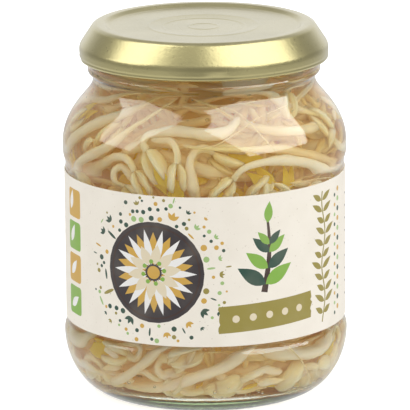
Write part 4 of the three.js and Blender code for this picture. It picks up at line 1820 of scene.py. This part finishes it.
@dataclass(frozen=True)
class SproutForm:
    """How a sprout that lies in the jar becomes flesh."""

    step: float = 1.0
    sides: int = 10
    lobe_rings: int = 14
    lobe_sides: int = 12
    bean_radius: float = 2.42
    bean_length: float = 9.0
    leaf_rings: int = 9
    leaf_sides: int = 8
    neck: float = 0.62
    press: float = 0.6
    foot_taper: float = 7.0
    tip_taper: float = 6.0

    def _sections(
        self, frames: tuple[np.ndarray, np.ndarray, np.ndarray], across: np.ndarray, under: np.ndarray
    ) -> np.ndarray:
        """Rings of points from their places across and under the centres.

        Args:
            frames: the centres and the axes.
            across: places along the first axis.
            under: places along the second.

        Returns:
            The rings.
        """
        centres, side, down = frames
        flat = side[:, None] * across[..., None] + down[:, None] * under[..., None]
        return centres[:, None] + flat

    def _looks(self, course: Course, at: np.ndarray, **chosen: Numbers) -> np.ndarray:
        """The looks at distances along a course, 0 where nothing is chosen."""
        # Every part takes the painted amber shade of its depth.
        values = {"deep": course.deep(at), **chosen}
        return np.stack([np.broadcast_to(values.get(look, 0.0), at.shape) for look in Flesh.LOOKS[:-1]], 1)

    def _body(self, flesh: Flesh, course: Course, tone: float, wobble: float) -> None:
        """Adds the root, the stem and the neck.

        Args:
            flesh: what they are added to.
            course: the sprout's line.
            tone: how pale it is.
            wobble: where its unevenness starts.
        """
        stations, knots = course.lying.stations, course.knots
        body = [i for i, station in enumerate(stations) if station.part in (Part.ROOT, Part.STEM)]
        radii = np.array([stations[i].radius for i in body])
        end = knots[body[-1]]
        at = np.linspace(0, end, max(8, math.ceil(end / self.step)))
        at = np.sort(np.concatenate([at, (0.15, 0.45, end - 0.45, end - 0.15)]))
        padded = np.pad(np.interp(at, knots[body], radii), 2, mode="edge")
        radius = np.convolve(padded, np.full(5, 0.2), "valid")
        radius *= 1 + 0.045 * np.sin(at * 0.55 + wobble) + 0.03 * np.sin(at * 1.3 + 2 * wobble)
        rooted = course.lying.build.root > 0
        whole = course.lying.build.whole
        radius *= np.clip((at + 0.12) / (3.0 if rooted else 1.2), 0.04, 1) ** 0.5
        if not rooted:
            radius *= np.interp(at, (0, self.foot_taper), (0.55, 1))
        if whole:
            end_radius = self.neck * course.lying.build.thick
            radius = np.where(at > end - 4, np.maximum(radius, end_radius), radius)
        else:
            radius *= np.clip((end - at + 0.12) / 1.2, 0.04, 1) ** 0.5
            radius *= np.interp(end - at, (0, self.tip_taper), (0.7, 1))
        turn = full_turn(self.sides)
        oval = 1 + 0.05 * math.sin(3 * wobble)
        across = radius[:, None] * np.cos(turn) * oval
        under = radius[:, None] * np.sin(turn) / oval
        roots = [i for i in body if stations[i].part is Part.ROOT]
        foot = knots[roots[-1] + 1] if roots else 0.0
        root = np.clip((foot + 4 - at) / 6, 0, 1) if roots else np.zeros(len(at))
        along = tone + 0.12 * np.sin(at * 0.2 + wobble)
        head = np.clip((at - end + 5) / 6, 0, 0.6) * whole
        looks = self._looks(course, at, tone=along, root=root, bean=head)
        flesh.loft(self._sections(course.frames(at), across, under), looks)

    def _lobes(self, flesh: Flesh, course: Course, tone: float, open_by: float) -> None:
        """Adds the two halves of the bean.

        Args:
            flesh: what they are added to.
            course: the sprout's line.
            tone: how pale they are.
            open_by: how far they gape.
        """
        build = course.lying.build
        stations = course.lying.stations
        first = next(i for i, station in enumerate(stations) if station.part is Part.BEAN)
        start = course.knots[first] - 0.2 * build.bean
        t = (1 - np.cos(np.linspace(0, math.pi, self.lobe_rings))) / 2
        at = start + build.bean * t
        scale = self.bean_radius * build.bean / self.bean_length
        radius = scale * np.sqrt(np.maximum(1 - np.abs(2 * t - 1) ** 2.5, 0.004))
        turn = full_turn(self.lobe_sides)
        bulge = (0.5 + 0.5 * np.cos(turn)) ** 0.55 + 0.03
        height = np.sign(np.sin(turn)) * np.abs(np.sin(turn)) ** 0.75
        frames = course.frames(at, build.roll)
        looks = self._looks(course, at, tone=tone, bean=1.0)
        for half in (1, -1):
            across = half * (radius[:, None] * bulge[::half] + open_by * scale * (t**1.5)[:, None])
            under = radius[:, None] * height[::half]
            flesh.loft(self._sections(frames, across, under), looks)

    def _leaves(self, flesh: Flesh, course: Course, tone: float) -> None:
        """Adds two thin seed leaves, which fan out from between the halves of the bean.

        Args:
            flesh: what they are added to.
            course: the sprout's line.
            tone: how pale they are.
        """
        build = course.lying.build
        stations = course.lying.stations
        last = max(i for i, station in enumerate(stations) if station.part is Part.BEAN)
        start = course.knots[last] - 0.45 * build.bean
        length = 0.45 * build.bean + build.leaf + 1.4
        t = np.linspace(0, 1, self.leaf_rings)
        at = start + length * t
        turn = full_turn(self.leaf_sides)
        wide = 1.7 * np.sin(math.pi * np.clip(t, 0.04, 0.985) ** 0.8)
        frames = course.frames(at, 0.3 * build.roll)
        looks = self._looks(course, at, tone=tone, leaf=1.0)
        for half in (1, -1):
            middle = half * (0.2 + 1.3 * t**1.4)
            lift = -0.5 * np.sin(math.pi * t) + half * 0.25
            across = middle[:, None] + wide[:, None] * np.cos(turn)
            under = lift[:, None] + (0.08 + 0.14 * wide[:, None]) * np.sin(turn)
            under = under - 0.35 * np.abs(np.cos(turn)) * wide[:, None]
            flesh.loft(self._sections(frames, across, under), looks)

    def grow(self, flesh: Flesh, wall: Wall, lying: Lying) -> None:
        """Adds a sprout.

        Args:
            flesh: what it is added to.
            wall: the inside of the glass.
            lying: the sprout in its place.
        """
        course = Course(wall, lying, self.press)
        build = lying.build
        first = len(flesh.points)
        tone = 0.5 + 0.5 * math.sin(build.phase * 3)
        self._body(flesh, course, tone, build.phase)
        if build.whole:
            self._lobes(flesh, course, tone, 0.12 + 0.12 * math.sin(build.phase * 5))
            if build.leaf:
                self._leaves(flesh, course, tone)
        flesh.points[first:] = [wall.pressed(points) for points in flesh.points[first:]]


@dataclass
class SproutPack:
    """Every sprout: those with a node each, those fused on the core, and more between them."""

    jar: GlassJar
    rule: PackRule = field(default_factory=PackRule)
    form: SproutForm = field(default_factory=SproutForm)
    seed: int = 24
    outer: int = 50
    outer_tries: int = 40
    inner: int = 15
    inner_tries: int = 8
    fill: int = 360
    fill_tries: int = 22
    fill_cap: float = 9.3
    fill_ease: int = 2
    shorts: int = 84
    short_tries: int = 40
    short_cap: float = 5.6
    short_length: float = 0.15
    short_leaf: float = 1.4
    upper_zone: float = 26.0
    heel_zone: float = 30.0
    fill_seed: int = 77
    fill_pieces: int = 8
    threads: int = 15
    core_sides: int = 96

    def _core(self, flesh: Flesh) -> None:
        """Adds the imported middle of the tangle.

        Args:
            flesh: what it is added to.
        """
        jar, deep = self.jar, self.rule.core
        radius = jar.panel - jar.wall - deep
        path = Profile(10).to((0.4, jar.floor + deep), (radius - 14, jar.floor + deep))
        path.bow((radius, jar.floor + deep), (radius, jar.floor + deep + 12))
        path.to(*((radius, z) for z in np.linspace(jar.floor + deep + 14, jar.shoulder - 3, 24)))
        path.bow((radius, 76), (jar.bore - deep - 0.8, 84)).to((jar.bore - deep - 1.4, 91))
        path.to((14.5, 94), (14.4, 95.1), (0.4, 95.2))
        angles = full_turn(self.core_sides)
        rings = []
        for r, z in path.points:
            lumps = np.sin(5 * angles + 0.23 * z) + np.sin(9 * angles - 0.31 * z + 2)
            reach = r + (0.28 * lumps * np.sin(0.5 * z + 3 * np.sin(2 * angles)) if r > 10 else 0.0)
            rings.append(around(angles, reach, z))
        # The core takes the full painted amber shade, with tone 0.3 and no root, bean or leaf.
        looks = np.tile([0.3, 0.0, 0.0, 0.0, 1.0], (len(rings), 1))
        flesh.loft(np.array(rings), looks)

    def _own(self, tangle: Tangle, material: bpy.types.Material) -> None:
        """Lays the sprouts next to the glass, a piece and a node each.

        Args:
            tangle: what is laid so far.
            material: the flesh.
        """
        rule = self.rule
        zone = (rule.lowest, tangle.wall.high)
        manner = Manner(self.outer_tries, rule.start, zone, rule.clearance, rule.ease)
        for i in range(self.outer):
            form = Flesh()
            self.form.grow(form, tangle.wall, tangle.lay(manner))
            node = f"sprout_{i + 1:02d}"
            finish_piece(form.piece(f"{node}_fine"), JAR_BODY, "sprouts", material, node)

    def _fused(self, tangle: Tangle, material: bpy.types.Material) -> None:
        """Makes the core, with the sprouts that are fused on it.

        Args:
            tangle: what is laid so far.
            material: the flesh.
        """
        rule = self.rule
        middle = Flesh()
        self._core(middle)
        zone = (rule.above_heel, tangle.wall.high)
        manner = Manner(self.inner_tries, rule.core, zone, rule.clearance, rule.ease)
        for _ in range(self.inner):
            self.form.grow(middle, tangle.wall, tangle.lay(manner))
        finish_piece(middle.piece("tangle_core"), JAR_BODY, "inner_sprouts", material, "inner_sprouts")

    def _manners(self, high: float) -> list[Manner]:
        """How each sprout that fills a gap is laid, the short ones first.

        Args:
            high: how high sprouts reach.

        Returns:
            The manner of each.
        """
        usual = Manner(self.fill_tries, self.rule.start, (self.rule.lowest, high), 0.0, self.fill_ease)
        usual = replace(usual, cap=self.fill_cap, length=0.85, turn=0.65, headless=0.25, leaf=1.9)
        upper = replace(usual, zone=(high - self.upper_zone, high))
        lower = replace(usual, zone=(self.rule.lowest, self.heel_zone))
        short = replace(usual, tries=self.short_tries, cap=self.short_cap, headless=0.0)
        short = replace(short, length=self.short_length, leaf=self.short_leaf)
        longer = [(upper, usual, lower, usual)[i % 4] for i in range(self.fill - self.shorts)]
        return [short] * self.shorts + longer

    def _filled(self, tangle: Tangle, material: bpy.types.Material) -> None:
        """Fills the gaps between the sprouts, in several pieces.

        Args:
            tangle: what is laid so far.
            material: the flesh.
        """
        tangle.map = np.minimum(tangle.map, self.fill_cap)
        manners = self._manners(tangle.wall.high)
        each = math.ceil(self.fill / self.fill_pieces)
        for i in range(self.fill_pieces):
            form = Flesh()
            for manner in manners[i * each : (i + 1) * each]:
                self.form.grow(form, tangle.wall, tangle.lay(manner))
            finish_piece(form.piece(f"fill_sprouts_{i + 1}"), JAR_BODY, "sprouts", material)

    def _threads(self, tangle: Tangle, material: bpy.types.Material) -> None:
        """Grows fine root hairs against the glass.

        Args:
            tangle: what is laid so far.
            material: the flesh.
        """
        wall = tangle.wall
        hairs = Flesh()
        for _ in range(self.threads):
            build = Build.drawn(tangle.draw)
            build.thick, build.root, build.whole = 0.12 + 0.1 * tangle.draw(), 0.0, False
            stations = tangle.course(build, (self.rule.lowest + 8, wall.high - 4))
            depths = [1.3 + 0.25 * math.sin(i + build.phase) for i in range(len(stations))]
            self.form.grow(hairs, wall, Lying(build, stations, depths))
        for looks in hairs.looks:
            looks[:, Flesh.LOOKS.index("root")] = 1.0
        finish_piece(hairs.piece("root_hairs"), JAR_BODY, "sprouts", material)

    def build(self, flesh: SproutFlesh) -> None:
        """Lays every sprout in the fixed order and grows it.

        Args:
            flesh: the finish of every sprout.
        """
        material = flesh.material()
        tangle = Tangle(self.jar, self.rule, self.seed)
        self._own(tangle, material)
        self._fused(tangle, material)
        tangle.draw = Draws(self.fill_seed)
        self._filled(tangle, material)
        self._threads(tangle, material)


@dataclass
class Bubbles:
    """Small air bubbles that cling to the inside of the glass."""

    jar: GlassJar
    rule: PackRule = field(default_factory=PackRule)
    count: int = 300
    seed: int = 9
    sizes: Pair = (0.13, 0.55)
    rings: int = 7
    sides: int = 12
    rows: tuple[float, ...] = (1.5, 3.0, 9.0)
    row_width: float = 0.5
    low_from: float = 4.0
    low_over: float = 12.0
    beside: float = 0.7
    step: float = 0.035
    off_glass: float = 0.2

    def build(self, air: Clear) -> None:
        """Makes the bubbles, in rows under the neck and in clusters low down.

        Args:
            air: the finish of their skin.
        """
        wall = Wall(self.jar, self.rule.from_radius, self.rule.to_height)
        draw = Draws(self.seed)
        rows = [wall.high - below for below in self.rows]
        lifts = np.linspace(-1, 1, self.rings) * (math.pi / 2 - 0.25)
        turns = full_turn(self.sides)
        flat, up = np.cos(lifts)[:, None], np.sin(lifts)[:, None]
        ball = np.stack(np.broadcast_arrays(flat * np.cos(turns), flat * np.sin(turns), up), -1)
        forms = Flesh()
        angle = 0.0
        for i in range(self.count):
            angle = angle + self.step * draw() if draw() < self.beside else draw() * 2 * math.pi
            low = i % 3 == 0
            if low:
                s = self.low_from + self.low_over * draw()
            else:
                s = rows[int(draw() * len(rows))] + self.row_width * (draw() - 0.5)
            least, most = self.sizes
            size = least + (most - least) * draw() ** (2 if low else 5)
            (r, z), (nr, nz) = (pair[0] for pair in wall.at(s))
            away = size + self.off_glass
            centre = around(angle, r + nr * away, z + nz * away)
            forms.loft(centre + size * ball, np.zeros((self.rings, len(Flesh.LOOKS) - 1)))
        finish_piece(forms.piece("brine_bubbles"), JAR_BODY, "brine", air.material())


# ---- studio
@dataclass(frozen=True)
class Softbox:
    """A large flat lamp that faces the jar."""

    name: str
    azimuth: float
    elevation: float
    distance: float
    size: Pair
    glow: float
    shine: float
    gleam: float
    shine_at: float = 0.95
    gleam_at: float = 0.9

    def _hang(self, target: Vector, use: str, distance: float, radiance: float) -> bpy.types.Object:
        """Hangs one lamp of that radiance and gives it.

        Args:
            target: what it faces, in metres.
            use: what it is for.
            distance: how far off it hangs, in metres.
            radiance: how bright it is.

        Returns:
            The lamp.
        """
        azimuth, elevation = math.radians(self.azimuth), math.radians(self.elevation)
        flat = math.cos(elevation)
        way = Vector((flat * math.sin(azimuth), -flat * math.cos(azimuth), math.sin(elevation)))
        lamp = bpy.data.lights.new(f"{self.name}_{use}", "AREA")
        lamp.shape = "RECTANGLE"
        lamp.size, lamp.size_y = self.size
        lamp.energy = radiance * math.pi * self.size[0] * self.size[1]
        hung = bpy.data.objects.new(lamp.name, lamp)
        hung.location = target + way * distance
        hung.rotation_euler = (-way).to_track_quat("-Z", "Y").to_euler()
        hung.visible_transmission = False
        bpy.context.scene.collection.objects.link(hung)
        return hung

    def build(self, target: Vector, glassware: bpy.types.Collection) -> None:
        """Hangs the lamp as three: for matt surfaces, for shiny ones and for glass.

        Args:
            target: what it faces, in metres.
            glassware: what the third is mirrored in.
        """
        self._hang(target, "glow", self.distance, self.glow).visible_glossy = False
        self._hang(target, "shine", self.shine_at * self.distance, self.shine).visible_diffuse = False
        gleam = self._hang(target, "gleam", self.gleam_at * self.distance, self.gleam)
        gleam.visible_diffuse = False
        gleam.light_linking.receiver_collection = glassware


@dataclass(frozen=True)
class Studio:
    """The camera, the white room, the lamps and the floor."""

    eye: tuple[float, float, float] = (0.0, -1219.14, 344.75)
    target: tuple[float, float, float] = (0.0, 0.0, 51.57)
    lens: float = 393.5
    sensor: float = 36.0
    clip: Pair = (0.05, 20.0)
    roll: float = -0.45
    room: float = 0.52
    backdrop: float = 1.0
    ground: float = 0.85
    front: float = 0.17
    inner: float = 0.72
    paper: float = 0.86
    diffuse: float = 0.22
    dimmer: float = 0.42
    back_facing: Pair = (0.62, 0.95)
    back_rising: Pair = (-0.2, 0.05)
    behind_facing: Pair = (-0.05, 0.5)
    below_rising: Pair = (0.05, -0.45)
    steep_rising: Pair = (-0.2, -0.4)
    ahead_facing: Pair = (-0.75, -0.97)
    flank_across: Pair = (0.2, 0.7)
    flank_rising: Pair = (-0.45, 0.1)
    lamps: tuple[Softbox, ...] = (
        Softbox("softbox_left", -80.0, 45.0, 1.3, (0.8, 1.3), 1.48, 2.15, 4.0),
        Softbox("softbox_right", 64.0, 45.0, 1.3, (1.4, 1.4), 1.48, 2.1, 6.9),
    )

    def _camera(self) -> None:
        """Sets up the camera."""
        lens = bpy.data.cameras.new("camera")
        lens.lens = self.lens
        lens.sensor_width = self.sensor
        lens.clip_start, lens.clip_end = self.clip
        camera = bpy.data.objects.new("camera", lens)
        eye, target = Vector(self.eye) * MM, Vector(self.target) * MM
        facing = (target - eye).to_track_quat("-Z", "Y").to_matrix().to_4x4()
        rolled = Matrix.Rotation(math.radians(self.roll), 4, "Z")
        camera.matrix_world = Matrix.Translation(eye) @ facing @ rolled
        bpy.context.scene.collection.objects.link(camera)
        bpy.context.scene.camera = camera

    def _room(self) -> None:
        """Makes the surroundings, which are white where they are seen and dimmer as light."""
        shader = Shader("white_room", world=True)
        place = shader.node("ShaderNodeTexCoord").outputs["Generated"]
        across = shader.node("ShaderNodeSeparateXYZ", None, {0: place})
        facing, rising = Term(shader, across.outputs["Y"]), Term(shader, across.outputs["Z"])
        back = facing.stepped(*self.back_facing) * rising.stepped(*self.back_rising)
        behind = facing.stepped(*self.behind_facing)
        below = rising.stepped(*self.below_rising)
        path = shader.node("ShaderNodeLightPath")
        seen = Term(shader, path.outputs["Is Camera Ray"])
        bent = Term(shader, path.outputs["Is Transmission Ray"])
        within = Term(shader, path.outputs["Diffuse Depth"]).stepped(0.0, 1.0)
        steep = self.paper * rising.stepped(*self.steep_rising)
        through = self.front + (1.0 - self.front) * (behind + (1.0 - behind) * steep)
        ahead = facing.stepped(*self.ahead_facing)
        flank = (Term(shader, across.outputs["X"]) ** 2).stepped(*self.flank_across)
        flank = flank * rising.stepped(*self.flank_rising)
        light = self.room + (self.backdrop - self.room) * back + (self.ground - self.room) * below
        light = light * (1.0 - self.dimmer * (ahead + flank))
        light = light + self.diffuse * Term(shader, path.outputs["Is Diffuse Ray"])
        refracted = within * self.inner + (1.0 - within) * through
        strength = seen + bent * refracted + (1.0 - seen - bent) * light
        white = shader.node("ShaderNodeBackground", None, {"Color": WHITE, "Strength": strength})
        bpy.context.scene.world = shader.finish(white)

    def build(self, floor: StudioFloor) -> None:
        """Sets up everything round the jar.

        Args:
            floor: the floor.
        """
        scene = bpy.context.scene
        scene.view_settings.view_transform = "Standard"
        self._camera()
        self._room()
        glassware = bpy.data.collections.new("glassware")
        glassware.objects.link(bpy.data.objects["jar_glass"])
        for lamp in self.lamps:
            lamp.build(Vector(self.target) * MM, glassware)
        floor.build()


def main() -> None:
    """Builds the jar and its room."""
    logging.basicConfig(level=logging.INFO, format="%(message)s")
    jar = GlassJar()
    jar.build(GLASS)
    BrineFill(jar).build(BRINE)
    TwistLid().build(GoldLacquer(), SealingCompound())
    Label(jar).build(PrintedPaper())
    SproutPack(jar).build(SproutFlesh())
    Bubbles(jar).build(AIR)
    Studio().build(StudioFloor())


if __name__ == "__main__":
    main()
